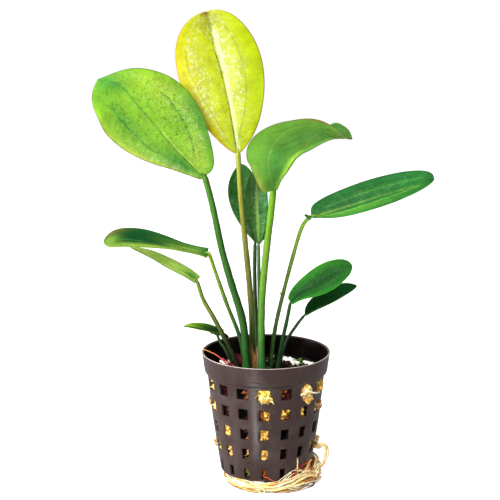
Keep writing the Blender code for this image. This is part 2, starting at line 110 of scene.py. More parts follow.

# The fills' colours, how far each stands out of the plug's side, and between which shares of a
# window's half width and half height it fades. The letters before the orange one are wool, and
# that one is half wool. Black is near black, a painted shadow in the deep gaps.
FILL_COLOURS = {
    "Y": (0.86, 0.56, 0.12), "T": (0.72, 0.42, 0.14), "O": (0.34, 0.12, 0.035),
    "M": (0.06, 0.008, 0.008), "G": (0.17, 0.21, 0.035), "K": (0.006, 0.004, 0.004),
    "P": (0.9, 0.62, 0.1), "C": (0.8, 0.46, 0.18),
}
FILL_BULGE = {"Y": 0.9, "T": 0.8, "O": -0.2, "M": -1.4, "G": -0.4, "K": -3.4, "P": 1.9, "C": 2.0}
FILL_LETTERS = "YTPCOMGK"
FILL_EASE = (0.82, 1.12)

# Tufts: the angle and height of the window each pokes out of, how many balls and spikes it has,
# the balls' radius, half its spread (sideways, up), its lean (sideways, up) and its colours
TUFTS = (
    dict(angle=-2.0, z=44.0, balls=12, spikes=14, swell=1.0, half=(2.0, 1.6), lean=(1.5, -1.6),
         tones=((0.92, 0.66, 0.14), (0.95, 0.8, 0.36), (0.8, 0.48, 0.06), (0.5, 0.24, 0.05))),
    dict(angle=43.0, z=43.8, balls=9, spikes=3, swell=1.6, half=(1.3, 3.0), lean=(0.3, -0.9),
         tones=((0.98, 0.62, 0.14), (1.0, 0.86, 0.5), (0.95, 0.5, 0.08), (0.98, 0.72, 0.24))),
    dict(angle=67.0, z=44.6, balls=8, spikes=4, swell=1.0, half=(1.6, 1.8), lean=(0.9, 0.3),
         tones=((0.9, 0.6, 0.14), (0.8, 0.46, 0.1), (0.3, 0.28, 0.04), (0.9, 0.66, 0.2))),
    dict(angle=72.0, z=35.4, balls=8, spikes=3, swell=1.0, half=(1.3, 2.0), lean=(0.6, -0.3),
         tones=((0.75, 0.45, 0.15), (0.88, 0.7, 0.4), (0.4, 0.16, 0.04))),
    dict(angle=84.0, z=17.5, balls=7, spikes=3, swell=1.0, half=(1.0, 1.8), lean=(0.2, 0.2),
         tones=((0.75, 0.48, 0.18), (0.85, 0.66, 0.36))),
    dict(angle=-88.0, z=35.4, balls=6, spikes=3, swell=1.0, half=(1.0, 1.4), lean=(0.0, 0.2),
         tones=((0.8, 0.5, 0.18), (0.85, 0.66, 0.36))),
    dict(angle=-86.0, z=17.0, balls=6, spikes=3, swell=1.0, half=(0.9, 1.6), lean=(0.0, -0.2),
         tones=((0.8, 0.5, 0.18), (0.85, 0.66, 0.36))),
)

# The plug, and the crown in its top. The grid is the points around, up the side and to the middle
# of the top. The hollows between the lumps take a share of the fill's colour as painted shade.
# Waves are (strength, length, seed).
WOOL_TOP_Z = 47.5
WOOL_CLEARANCE = 0.5
WOOL_HOLLOW_SHADE = (0.62, 0.42, 0.32)
WOOL_BASE_GAP = 1.3
WOOL_GRID = (560, 112, 46)
SOIL_RISE = 0.3
SOIL_WAVES = ((0.9, 6.0, 31), (0.45, 2.2, 32), (0.2, 0.9, 33))
SOIL_DARK = (0.008, 0.005, 0.004)
SOIL_PALE = (0.06, 0.03, 0.012)
CROWN_MID = (-3.4, -0.6, 45.2)
CROWN_RADII = (11.4, 8.6, 3.4)
CROWN_SWELL = 1.6
CROWN_WAVES = ((0.35, 2.4, 91), (0.15, 0.9, 92))
CROWN_TONES = ((0.04, 0.02, 0.012), (0.06, 0.1, 0.02))

# Withered sheaths and the small ears at the base of two blades, as strips: the path from the loose
# end, the width at both ends, how far round it wraps in degrees, the colour at both ends
STRIPS = {
    "sheath_split": dict(path=((-8.0, -2.0, 63.8), (-6.6, -2.1, 59.5), (-5.2, -2.2, 54.0),
                               (-4.8, -2.3, 47.6)),
                         width=(0.9, 2.2), wrap=70, tones=((0.16, 0.06, 0.02), (0.3, 0.16, 0.05))),
    "sheath_broken": dict(path=((-3.7, -4.0, 60.4), (-3.7, -3.9, 54.0), (-3.9, -3.7, 47.6)),
                          width=(1.2, 1.8), wrap=60, tones=((0.34, 0.2, 0.08), (0.14, 0.06, 0.02))),
    "small_base": dict(path=((-24.6, 1.3, 66.2), (-21.4, 0.9, 65.6), (-18.6, 0.8, 64.4), (-16.2, 0.8, 62.9)),
                       width=(3.4, 1.2), wrap=60, tones=((0.006, 0.03, 0.004), (0.005, 0.024, 0.003))),
    "blade_ear": dict(path=((16.0, 2.6, 116.4), (17.3, 2.8, 115.9), (19.2, 3.4, 114.7)),
                      width=(0.8, 1.5), wrap=80, tones=((0.01, 0.09, 0.02), (0.04, 0.2, 0.03))),
}
STRIP_THICKNESS = 0.22

# How tufts and fuzz vary, each as (least, most) in millimetres: how far a foot comes out, the
# radius of a spike, the length and the radius of a fibre. The spread is a share of the window's.
TUFT_OUT = (0.3, 1.3)
TUFT_WAVES = ((0.28, 1.3, 46), (0.16, 0.5, 47))
TUFT_LIMITS = (0.35, 1.7)
BALL_SPREAD, SPIKE_SPREAD = 0.62, 0.8
SPIKE_RADIUS = (0.5, 0.85)
SPIKE_TIP = 0.04
FUZZ_TRIES = 9000
FUZZ_LENGTH = (0.6, 1.5)
FUZZ_RADIUS = (0.06, 0.14)

# Lumps in the mouth, and one on a stalk, as (place, half sizes, colour)
LUMPS = (
    ((-19.0, 12.6, 48.7), (1.2, 2.6, 0.9), (0.86, 0.82, 0.68)),
    ((-17.4, 9.2, 48.6), (1.1, 2.2, 0.8), (0.82, 0.76, 0.6)),
    ((-15.6, 12.6, 48.8), (0.9, 1.8, 0.9), (0.9, 0.86, 0.74)),
    ((8.2, 15.6, 49.1), (1.7, 2.4, 0.8), (0.93, 0.91, 0.84)),
    ((10.6, 12.6, 49.2), (2.2, 3.0, 0.9), (0.96, 0.95, 0.9)),
    ((12.6, 9.4, 49.1), (1.8, 2.4, 0.8), (0.93, 0.9, 0.82)),
    ((14.0, 8.8, 48.7), (0.9, 1.4, 0.7), (0.86, 0.8, 0.62)),
    ((17.2, 9.8, 49.0), (1.7, 1.8, 0.6), (0.95, 0.93, 0.86)),
    ((19.6, 8.4, 48.9), (1.6, 1.5, 0.6), (0.93, 0.9, 0.8)),
    ((3.2, 20.4, 48.8), (0.45, 1.2, 0.6), (0.86, 0.8, 0.6)),
    ((5.8, 15.6, 48.7), (0.4, 0.5, 0.5), (0.9, 0.84, 0.66)),
    ((14.9, 11.0, 49.6), (0.9, 2.2, 0.9), (0.05, 0.1, 0.01)),
    ((15.6, 8.6, 48.8), (1.2, 1.4, 0.8), (0.03, 0.07, 0.01)),
    ((-12.2, 20.6, 48.4), (2.2, 3.2, 1.2), (0.06, 0.004, 0.012)),
    ((-10.6, 13.6, 48.4), (2.4, 4.0, 1.1), (0.13, 0.006, 0.02)),
    ((-13.6, 9.6, 48.2), (1.8, 2.4, 0.9), (0.09, 0.008, 0.012)),
    ((6.4, 2.75, 81.7), (0.6, 0.55, 0.75), (0.3, 0.34, 0.06)),
)
LUMP_WAVES = ((0.18, 1.8, 101), (0.09, 0.6, 102))

# Crumbs: how many, how far from the axis, their heights, radii, colours and the colours' shares
CRUMB_COUNT = 420
CRUMB_REACH = 23.0
CRUMB_LEVEL = (47.9, 49.0)
CRUMB_RADIUS = (0.25, 1.0)
CRUMB_WAVES = ((0.25, 0.8, 112),)
CRUMB_TONES = ((0.003, 0.0015, 0.0015), (0.008, 0.002, 0.001), (0.001, 0.0008, 0.0006), (0.03, 0.008, 0.003),
               (0.7, 0.62, 0.46))
CRUMB_SHARES = (0.4, 0.26, 0.27, 0.05, 0.02)

# Looks of the pot's faces, as (colour, dust, shine), and of the fibrous parts, as (scale, contrast,
# roughness, relief in millimetres). The pot's inside is near black as painted shade, and its
# bevelled edges are lighter as a painted highlight.
POT_LOOKS = {
    "pot_outside": ((0.044, 0.026, 0.0235), 0.1, 0.3),
    "pot_inside_shade": ((0.002, 0.001, 0.001), 0.02, 0.03),
    "pot_edge_highlight": ((0.12, 0.09, 0.083), 0.1, 0.4),
}
FIBRE_LOOKS = {
    "rock_wool": (1100.0, 0.4, 0.85, 0.15),
    "wool_fibres": (2500.0, 0.4, 0.7, 0.05),
    "root_strands": (700.0, 0.35, 0.5, 0.06),
    "root_red": (700.0, 0.35, 0.45, 0.04),
    "crown_skin": (900.0, 0.7, 0.6, 0.1),
    "crumbs": (1800.0, 0.6, 0.7, 0.1),
}

# A painted highlight along the front of the rim's lip, and a scratch on the collar as the place of its middle
# (x, z)
POT_LIP_HIGHLIGHT = (0.5, 0.42, 0.39)
SCRATCH_TINT = (0.002, 0.001, 0.001)
SCRATCH = dict(place=(-4.3, 50.5), half_length=3.0, half_width=0.3, slope=-0.14)

# Leaves. The shape has the same values as the solid's. midrib: its path from base to tip. faces:
# the ways that the upper side looks, from base to tip. width, fold, curl: of the left and the
# right half, the half width, the degrees it stands off flat and the degrees it bends on.
# base, tip: the powers by which each half opens and closes. lobe: how far its base hangs back.
# heel: how blunt the base is. steady: how far the halves stand square to the whole blade and not
# to its midrib. stem, foot, stem_r: the stalk's path, its place in the crown and its radius at
# both ends. grid: cells along and across. ripple, blister: heights of the edge's wave and of the
# skin's blisters. shine, gloss, glow: strength of reflections, roughness, share of light let
# through. Places on a blade are (along, across), from base to tip and from left (-1) to right
# (1). tint: the colour of the upper side, under: of the underside, rim: of the left and the right
# edge. patches: soft patches, partly of the leaf's own colour and partly painted light and shade,
# as (along, across, length, width, colour). marks: where the net of veins, pale flecks of painted
# glint and dark specks are strong. lines: veins and creases, as (path or one place across, width
# in mm, colour, strength); the tall leaf's first line is a painted highlight. stem_tint: the
# stalk's colour from the blade to the crown. shaded_side: how much painted shade darkens its
# right side, or its left side if below zero. A leaf that gives no value takes the plain one.
PLAIN_MARKS = (0.15, 0.0, 0.1)
UNDER_MARKS = (0.15, 0.0, 0.05)
PLAIN_LEAF = dict(lobe=(0, 0), heel=0, steady=0, marks=(), under_patches=())
LEAVES = {
    "tall": dict(
        midrib=((-11.9, 5.0, 142.1), (-12.8, 5.0, 146.8), (-14.7, 6.5, 158.6), (-18.3, 11.0, 174.9),
                (-22.5, 17.0, 188.1), (-25.6, 24.0, 200.1)),
        faces=((0.0, -1.0, 0.25), (-0.1, -0.85, 0.55)),
        width=(19.2, 17.9), base=(0.82, 0.72), tip=(0.6, 0.48), fold=(26, 19), curl=(-20, -36),
        stem=((-10.9, 4.6, 124.5), (-9.0, 3.6, 105.1), (-6.9, 2.4, 83.4), (-6.0, 1.4, 66.0)),
        foot=(-6.4, 0.6), stem_r=(1.05, 1.3),
        grid=(230, 196), ripple=0.35, blister=0.06, shine=0.15, gloss=0.3, glow=0.2, shaded_side=0.35,
        tint=(0.44, 0.5, 0.002),
        patches=((0.5, -0.85, 0.35, 0.3, (0.59, 0.53, 0.002)), (0.08, 0.0, 0.1, 0.5, (0.32, 0.44, 0.002)),
                 (0.52, 0.2, 0.42, 0.17, (0.56, 0.63, 0.018)), (0.35, -0.3, 0.3, 0.2, (0.53, 0.6, 0.006)),
                 (0.93, 0.0, 0.07, 0.5, (0.39, 0.4, 0.008)), (0.99, -0.2, 0.025, 0.5, (0.19, 0.083, 0.002)),
                 (0.45, 0.85, 0.6, 0.2, (0.39, 0.52, 0.002)), (0.2, -0.85, 0.14, 0.2, (0.51, 0.44, 0.005))),
        marks=((0.5, 0.26, 0.46, 0.24, (0.8, 0.55, 0.2)), (0.72, 0.12, 0.26, 0.1, (1.0, 0.9, 0.1)),
               (0.93, 0.0, 0.12, 0.5, (1.0, 0.3, 0.8)),
               (0.45, -0.62, 0.35, 0.12, (0.3, 0.8, 0.0)), (0.5, -0.5, 0.3, 0.25, (0.5, 0.55, 0.2)),
               (0.4, -0.2, 0.4, 0.15, (0.8, 0.1, 0.3))),
        # The first line is a painted highlight: a pale strip of sheen just right of the midrib.
        lines=((((0.0, 0.07), (0.4, 0.05), (0.6, 0.075), (0.9, 0.13)), 0.9, (0.97, 1, 0.51), 1.0),
               (((0.0, -0.02), (0.4, -0.03), (0.75, -0.015), (0.86, 0.03), (0.97, 0.04)),
                0.34, (0.075, 0.16, 0.002), 1.0),
               (((0.03, 0.1), (0.16, 0.29), (0.23, 0.4), (0.35, 0.5), (0.47, 0.54), (0.74, 0.53),
                 (0.92, 0.45)), 0.28, (0.19, 0.32, 0.002), 0.8),
               (((0.14, -0.56), (0.27, -0.6), (0.37, -0.66), (0.47, -0.72), (0.58, -0.8), (0.7, -0.8)),
                0.8, (0.62, 0.67, 0.032), 0.85),
               (((0.03, -0.4), (0.14, -0.5), (0.27, -0.55), (0.37, -0.61), (0.47, -0.67), (0.58, -0.75),
                 (0.8, -0.74)), 0.25, (0.27, 0.32, 0.002), 0.75)),
        under=(0.41, 0.48, 0.003), rim=((0.53, 0.27, 0.006), (0.23, 0.092, 0.006)),
        stem_tint=((0.34, 0.39, 0.032), (0.17, 0.17, 0.02), (0.11, 0.12, 0.016), (0.033, 0.13, 0.013))),
    "upper_left": dict(
        midrib=((-25.7, -6.0, 134.0), (-31.9, -7.5, 141.1), (-42.1, -10.0, 153.0),
                (-52.3, -12.0, 164.9), (-60.0, -13.3, 172.9), (-69.4, -14.0, 177.0)),
        faces=((0.1, -1.0, 0.35), (-0.2, -0.9, 0.6)),
        width=(21.0, 20.8), base=(1.22, 0.95), tip=(0.51, 1.0), fold=(14, 17), curl=(18, -48),
        lobe=(3.0, 3.4), steady=0.7,
        stem=((-22.4, -6.0, 121.1), (-18.7, -5.8, 103.0), (-14.9, -5.4, 88.9),
              (-10.1, -5.0, 72.2), (-8.6, -4.4, 57.8)),
        foot=(-8.2, -4.0), stem_r=(1.2, 1.7),
        grid=(230, 196), ripple=0.3, blister=0.06, shine=0.15, gloss=0.33, glow=0.14, shaded_side=0.6,
        tint=(0.235, 0.49, 0.023),
        patches=((0.66, 0.62, 0.2, 0.3, (0.35, 0.55, 0.023)), (0.2, -0.45, 0.16, 0.4, (0.071, 0.29, 0.028)),
                 (0.28, 0.88, 0.22, 0.18, (0.09, 0.31, 0.03)), (0.9, 0.03, 0.08, 0.22, (0.045, 0.22, 0.025)),
                 (0.97, 0.2, 0.1, 0.9, (0.08, 0.31, 0.028)),
                 (0.45, -0.97, 0.3, 0.08, (0.51, 0.6, 0.055)), (0.16, 0.35, 0.12, 0.3, (0.34, 0.51, 0.046)),
                 (0.7, -0.45, 0.18, 0.14, (0.13, 0.39, 0.028))),
        marks=((0.45, 0.3, 0.5, 0.6, (0.9, 0.08, 0.8)), (0.6, -0.5, 0.35, 0.4, (0.8, 0.05, 0.9)),
               (0.4, 0.65, 0.35, 0.14, (0.9, 0.3, 1.0)), (0.25, -0.8, 0.3, 0.2, (0.3, 0.4, 0.3))),
        lines=((((0.0, 0.0), (0.3, -0.05), (0.5, 0.03)), 0.45, (0.59, 0.73, 0.11), 0.95),
               (((0.0, -0.06), (0.09, -0.12), (0.29, -0.09), (0.51, -0.01), (0.72, 0.0), (0.84, 0.06),
                 (0.95, 0.2)), 0.34, (0.032, 0.22, 0.023), 0.9),
               (((0.12, 0.2), (0.25, 0.41), (0.39, 0.49), (0.48, 0.51), (0.56, 0.55), (0.68, 0.55)),
                0.5, (0.032, 0.24, 0.028), 0.8),
               (((0.09, -0.5), (0.25, -0.54), (0.43, -0.61), (0.55, -0.54), (0.67, -0.52), (0.8, -0.46)),
                0.45, (0.041, 0.26, 0.028), 0.75)),
        under=(0.24, 0.46, 0.046), rim=((0.19, 0.25, 0.02), (0.029, 0.16, 0.02)),
        stem_tint=((0.064, 0.2, 0.017), (0.031, 0.12, 0.012), (0.027, 0.095, 0.014), (0.014, 0.08, 0.01))),
    "folded": dict(
        midrib=((2.9, -13.5, 130.4), (4.7, -14.5, 134.9), (7.6, -16.0, 139.3), (12.0, -18.5, 146.0),
                (18.0, -20.0, 149.5), (25.9, -20.5, 153.4), (32.0, -19.5, 153.5),
                (35.2, -19.0, 152.8)),
        faces=((-0.7, 0.15, -0.45), (-0.1, 0.5, 0.8), (0.45, 0.0, 0.25)),
        width=(11.6, 21.3), base=(1.3, 0.48), tip=(0.6, 0.8), fold=(28, 22), curl=(-5, -5),
        lobe=(0.6, 0.6),
        stem=((1.5, -12.6, 117.5), (-0.4, -10.8, 99.8), (-1.8, -9.0, 82.0), (-2.0, -7.0, 63.9)),
        foot=(-1.7, -5.5), stem_r=(1.45, 1.5),
        grid=(190, 140), ripple=0.1, blister=0.03, shine=0.15, gloss=0.42, glow=0.25, shaded_side=0.4,
        tint=(0.032, 0.17, 0.032), patches=((0.96, 0.0, 0.12, 1.6, (0.1, 0.24, 0.04)),),
        lines=((0.0, 0.3, (0.11, 0.37, 0.054), 0.8),),
        under=(0.19, 0.47, 0.056), rim=((0.2, 0.34, 0.04), (0.16, 0.2, 0.03)),
        under_patches=(
            (0.45, 0.85, 0.5, 0.22, (0.21, 0.53, 0.056)), (0.25, 0.3, 0.3, 0.2, (0.1, 0.37, 0.056)),
            (0.7, 0.3, 0.25, 0.3, (0.12, 0.37, 0.056)), (0.76, 0.97, 0.05, 0.06, (0.4, 0.18, 0.046)),
            (0.93, 0.3, 0.09, 0.6, (0.45, 0.47, 0.074)), (0.1, 0.9, 0.1, 0.12, (0.52, 0.62, 0.09))),
        under_lines=((((0.04, 0.2), (0.15, 0.42), (0.26, 0.475), (0.36, 0.49), (0.44, 0.59), (0.51, 0.7),
                       (0.63, 0.79)), 0.22, (0.4, 0.65, 0.14), 0.7),
                     (((0.47, 0.02), (0.555, 0.12), (0.62, 0.19), (0.7, 0.3), (0.78, 0.66)),
                      0.3, (0.36, 0.4, 0.056), 0.75),
                     (((0.0, 0.04), (0.2, 0.03), (0.42, 0.02), (0.5, 0.02)), 0.25, (0.54, 0.74, 0.056), 0.95),
                     (((0.02, -0.1), (0.2, -0.1), (0.36, -0.12)), 0.3, (0.045, 0.091, 0.028), 0.8)),
        stem_tint=((0.12, 0.33, 0.006), (0.14, 0.28, 0.02), (0.08, 0.22, 0.022), (0.008, 0.095, 0.026))),
    "rear": dict(
        midrib=((-4.7, 14.0, 101.4), (-6.4, 15.5, 109.0), (-8.2, 17.5, 119.6), (-9.5, 20.0, 127.9),
                (-10.8, 22.5, 134.4)),
        faces=((0.0, -1.0, 0.2), (0.0, -0.9, 0.4)),
        width=(7.8, 7.8), base=(1.1, 0.28), tip=(0.7, 0.56), fold=(12, 10), curl=(-10, -10),
        stem=((-4.9, 12.0, 89.9), (-4.5, 9.6, 74.9), (-3.6, 6.6, 57.8)),
        foot=(-3.8, 4.8), stem_r=(0.8, 0.95),
        grid=(110, 80), ripple=0.2, blister=0.12, shine=0.12, gloss=0.32, glow=0.1, shaded_side=0.3,
        tint=(0.018, 0.14, 0.013),
        patches=((0.6, 0.6, 0.3, 0.3, (0.037, 0.2, 0.019)), (0.2, -0.5, 0.2, 0.4, (0.009, 0.087, 0.012))),
        marks=((0.5, 0.0, 0.6, 1.0, (0.4, 0.15, 0.5)),),
        lines=((0.0, 0.3, (0.054, 0.23, 0.021), 0.8), (-0.5, 0.25, (0.044, 0.2, 0.021), 0.6)),
        under=(0.054, 0.17, 0.024), rim=((0.078, 0.2, 0.016), (0.078, 0.2, 0.016)),
        stem_tint=((0.04, 0.1, 0.02), (0.04, 0.09, 0.02), (0.04, 0.07, 0.02), (0.01, 0.03, 0.01))),
    "rear_narrow": dict(
        midrib=((-3.2, 10.5, 101.3), (-3.9, 11.5, 107.7), (-4.3, 12.5, 116.3), (-4.3, 14.0, 124.7),
                (-3.9, 16.0, 133.1)),
        faces=((0.0, -1.0, 0.2), (0.0, -0.9, 0.4)),
        width=(4.6, 5.3), base=(0.86, 0.62), tip=(0.52, 0.5), fold=(12, 12), curl=(0, 0),
        lobe=(0.3, 0.3),
        stem=((-3.0, 8.2, 86.4), (-2.8, 5.4, 69.3)),
        foot=(-3.0, 1.5), stem_r=(0.75, 0.8),
        grid=(110, 76), ripple=0.2, blister=0.14, shine=0.12, gloss=0.34, glow=0.1, shaded_side=0.3,
        tint=(0.046, 0.15, 0.021),
        patches=((0.45, 0.15, 0.4, 0.14, (0.21, 0.4, 0.05)), (0.5, 0.75, 0.4, 0.22, (0.028, 0.2, 0.034)),
                 (0.8, 0.0, 0.2, 0.5, (0.022, 0.075, 0.012)), (0.5, 0.4, 0.14, 0.25, (0.02, 0.1, 0.02))),
        marks=((0.5, 0.0, 0.6, 1.0, (0.3, 0.1, 0.7)),),
        lines=((0.0, 0.3, (0.24, 0.45, 0.084), 0.7), (0.45, 0.2, (0.018, 0.12, 0.025), 0.6)),
        under=(0.092, 0.26, 0.05), rim=((0.023, 0.056, 0.011), (0.023, 0.056, 0.011)),
        stem_tint=((0.04, 0.16, 0.02), (0.02, 0.1, 0.02), (0.015, 0.08, 0.02), (0.01, 0.04, 0.01))),
    "right_long": dict(
        midrib=((19.1, 4.0, 115.3), (25.0, 3.5, 116.3), (33.4, 2.0, 119.2), (45.9, -1.0, 124.4),
                (58.2, -4.0, 129.3), (70.3, -7.0, 133.8)),
        faces=((0.0, -0.55, 0.85), (0.0, -0.5, 0.9)),
        width=(9.6, 8.3), base=(0.26, 0.86), tip=(0.36, 0.52), fold=(17, 10), curl=(3, -3),
        stem=((15.5, 4.0, 111.2), (12.2, 3.6, 100.7), (7.7, 2.8, 83.3), (3.9, 1.8, 66.3)),
        foot=(1.5, 1.0), stem_r=(0.8, 0.9),
        grid=(210, 120), ripple=0.22, blister=0.08, shine=0.1, gloss=0.36, glow=0.08, shaded_side=-0.6,
        tint=(0.014, 0.12, 0.021),
        patches=((0.35, 0.6, 0.4, 0.3, (0.05, 0.21, 0.024)), (0.08, 0.3, 0.12, 0.5, (0.055, 0.21, 0.026)),
                 (0.6, -0.5, 0.4, 0.3, (0.018, 0.13, 0.021)), (0.97, 0.0, 0.04, 0.8, (0.011, 0.087, 0.014)),
                 (0.25, -0.3, 0.25, 0.2, (0.011, 0.1, 0.018))),
        marks=((0.4, -0.2, 0.5, 0.5, (0.3, 0.04, 0.4)),),
        lines=((((0.05, -0.62), (0.4, -0.66), (0.9, -0.6)), 0.35, (0.006, 0.07, 0.012), 0.6),
               (((0.1, -0.4), (0.5, -0.42), (0.95, -0.36)), 0.3, (0.09, 0.28, 0.035), 0.5),
               (((0.12, -0.2), (0.6, -0.2), (0.9, -0.16)), 0.3, (0.006, 0.08, 0.012), 0.6),
               (((0.04, 0.36), (0.5, 0.4), (0.95, 0.34)), 0.35, (0.2, 0.44, 0.05), 0.7),
               (((0.06, 0.6), (0.5, 0.64), (0.95, 0.6)), 0.3, (0.01, 0.1, 0.014), 0.6),
               (((0.0, 0.0), (0.15, -0.1), (0.32, -0.06), (0.48, -0.01), (0.64, 0.05), (0.81, 0.125),
                 (0.9, 0.16)), 0.35, (0.18, 0.29, 0.035), 0.9),
               (((0.02, -0.2), (0.16, -0.3), (0.35, -0.25), (0.55, -0.2)), 0.2, (0.006, 0.067, 0.014), 0.7),
               (((0.1, -0.45), (0.35, -0.46), (0.6, -0.42), (0.85, -0.36)), 0.2, (0.058, 0.22, 0.035), 0.6),
               (((0.05, 0.2), (0.3, 0.28), (0.6, 0.36), (0.85, 0.4)), 0.22, (0.014, 0.12, 0.021), 0.7),
               (((0.1, 0.5), (0.32, 0.55), (0.56, 0.66), (0.75, 0.7)), 0.22, (0.14, 0.28, 0.035), 0.7),
               (((0.1, -0.7), (0.4, -0.72), (0.8, -0.66)), 0.2, (0.006, 0.074, 0.014), 0.5)),
        under=(0.095, 0.24, 0.056), rim=((0.011, 0.067, 0.014), (0.073, 0.18, 0.021)),
        stem_tint=((0.19, 0.38, 0.015), (0.1, 0.19, 0.012), (0.052, 0.1, 0.01), (0.012, 0.055, 0.01))),
    "lower_right": dict(
        midrib=((10.3, -5.0, 79.6), (14.3, -6.5, 84.0), (20.6, -8.5, 88.4), (28.9, -11.0, 93.8),
                (36.1, -13.5, 97.8)),
        faces=((0.0, -0.6, 0.8), (0.0, -0.6, 0.8)),
        width=(7.7, 7.3), base=(0.66, 0.92), tip=(0.52, 0.47), fold=(10, 7), curl=(-2, -10),
        lobe=(1.7, 1.5),
        stem=((8.9, -4.4, 72.0), (6.6, -2.8, 60.5)),
        foot=(4.5, -1.0), stem_r=(0.75, 0.85),
        grid=(140, 100), ripple=0.2, blister=0.14, shine=0.05, gloss=0.3, glow=0.08, shaded_side=0.3,
        tint=(0.01, 0.08, 0.01),
        patches=((0.5, 0.05, 0.4, 0.25, (0.007, 0.05, 0.008)), (0.5, -0.8, 0.4, 0.2, (0.017, 0.15, 0.009)),
                 (0.4, 0.85, 0.4, 0.15, (0.012, 0.14, 0.009))),
        marks=((0.5, 0.0, 0.6, 1.0, (0.5, 0.03, 0.5)),),
        lines=((0.0, 0.3, (0.003, 0.033, 0.005), 0.7), (-0.5, 0.25, (0.021, 0.16, 0.009), 0.5),
               (0.45, 0.25, (0.017, 0.15, 0.009), 0.5)),
        under=(0.033, 0.17, 0.019), rim=((0.1, 0.27, 0.012), (0.041, 0.21, 0.011)),
        stem_tint=((0.02, 0.07, 0.012), (0.012, 0.045, 0.01), (0.01, 0.04, 0.01), (0.008, 0.035, 0.012))),
    "dark_right": dict(
        midrib=((16.8, 5.0, 71.9), (21.1, 6.0, 74.5), (27.6, 7.5, 77.7), (34.1, 9.0, 80.9),
                (39.3, 10.5, 83.2)),
        faces=((0.0, -0.5, 0.85), (0.0, -0.5, 0.85)),
        width=(6.3, 3.4), base=(0.63, 0.7), tip=(0.62, 0.6), fold=(8, 20), curl=(0, 5),
        lobe=(0, 2),
        stem=((12.9, 4.4, 66.9), (9.1, 4.0, 60.8), (6.5, 3.5, 52.9)),
        foot=(5.7, 3.2), stem_r=(0.6, 0.75),
        grid=(110, 80), ripple=0.15, blister=0.12, shine=0.0, gloss=0.36, glow=0.05, shaded_side=0.3,
        tint=(0.004, 0.028, 0.006),
        patches=((0.85, 0.0, 0.15, 0.6, (0.006, 0.052, 0.01)), (0.5, 0.95, 0.5, 0.1, (0.041, 0.16, 0.019))),
        marks=((0.5, 0.0, 0.6, 1.0, (0.2, 0.0, 0.2)),),
        lines=((0.0, 0.3, (0.009, 0.071, 0.01), 0.7),),
        under=(0.026, 0.17, 0.035), rim=((0.012, 0.059, 0.013), (0.041, 0.14, 0.019)),
        stem_tint=((0.012, 0.03, 0.006), (0.015, 0.04, 0.008), (0.008, 0.02, 0.006), (0.005, 0.012, 0.004))),
    "left_dark": dict(
        midrib=((-24.4, -3.0, 100.9), (-34.3, -4.0, 103.2), (-42.1, -5.0, 105.6),
                (-53.2, -6.0, 108.2), (-62.4, -7.5, 109.0), (-68.5, -8.5, 107.0)),
        faces=((0.0, -0.1, 1.0), (-0.1, -0.1, 1.0)),
        width=(8.0, 6.6), base=(1.36, 1.2), tip=(0.34, 0.59), fold=(-6, 15), curl=(-19, 11),
        lobe=(1.0, 2.8), heel=0.7,
        stem=((-22.4, -2.6, 95.2), (-20.1, -1.9, 88.1), (-16.3, -0.8, 76.8), (-12.0, 0.2, 65.4),
              (-9.9, 0.8, 56.3)),
        foot=(-9.7, 1.0), stem_r=(0.75, 0.9),
        grid=(170, 90), ripple=0.15, blister=0.04, shine=0.03, gloss=0.4, glow=0.08, shaded_side=0.5,
        tint=(0.004, 0.053, 0.013),
        patches=((0.16, 0.1, 0.26, 1.0, (0.09, 0.21, 0.029)), (0.95, -0.2, 0.1, 0.9, (0.12, 0.22, 0.03)),
                 (0.6, -0.85, 0.4, 0.2, (0.2, 0.33, 0.042)), (0.9, 0.9, 0.14, 0.3, (0.16, 0.11, 0.03)),
                 (0.5, 0.85, 0.3, 0.2, (0.01, 0.084, 0.017)), (0.03, 0.3, 0.035, 0.8, (0.013, 0.087, 0.017))),
        lines=((((0.08, -0.2), (0.25, -0.15), (0.45, -0.3)), 0.3, (0.2, 0.35, 0.05), 0.8),
               (((0.06, -0.55), (0.2, -0.5), (0.42, -0.6)), 0.35, (0.3, 0.42, 0.06), 0.8),
               (((0.1, 0.1), (0.25, 0.08), (0.4, 0.0)), 0.25, (0.24, 0.38, 0.05), 0.7),
               (((0.05, 0.35), (0.25, 0.3), (0.45, 0.25)), 0.3, (0.013, 0.084, 0.017), 0.7),
               (((0.6, -0.4), (0.8, -0.35), (0.9, -0.3)), 0.35, (0.033, 0.21, 0.042), 0.7)),
        under=(0.13, 0.27, 0.067), rim=((0.2, 0.27, 0.042), (0.053, 0.096, 0.017)),
        stem_tint=((0.24, 0.38, 0.012), (0.115, 0.22, 0.016), (0.03, 0.1, 0.02), (0.004, 0.016, 0.004))),
    "left_pale": dict(
        midrib=((-29.5, 0.0, 88.2), (-34.5, 1.5, 91.5), (-42.5, 3.5, 95.5), (-49.6, 5.0, 98.7),
                (-58.3, 7.5, 101.1)),
        faces=((0.0, -0.2, 1.0), (-0.1, -0.2, 1.0)),
        width=(4.9, 4.6), base=(0.56, 0.26), tip=(0.95, 0.62), fold=(6, 4), curl=(-1, -6),
        lobe=(2.6, 1.8),
        stem=((-26.9, -0.5, 80.2), (-22.7, -1.3, 72.7), (-18.0, -2.2, 63.9), (-13.7, -3.0, 54.8)),
        foot=(-11.6, -3.2), stem_r=(0.75, 1.2),
        grid=(120, 80), ripple=0.12, blister=0.04, shine=0.12, gloss=0.4, glow=0.25, shaded_side=0.5,
        tint=(0.4, 0.62, 0.08),
        patches=((0.92, 0.0, 0.16, 0.9, (0.48, 0.68, 0.1)), (0.1, 0.0, 0.16, 0.9, (0.055, 0.21, 0.022)),
                 (0.6, 0.7, 0.4, 0.3, (0.4, 0.57, 0.11)),
                 (0.4, -0.5, 0.4, 0.15, (0.41, 0.54, 0.095))),
        marks=((0.5, 0.0, 0.6, 1.0, (0.2, 0.1, 0.2)),),
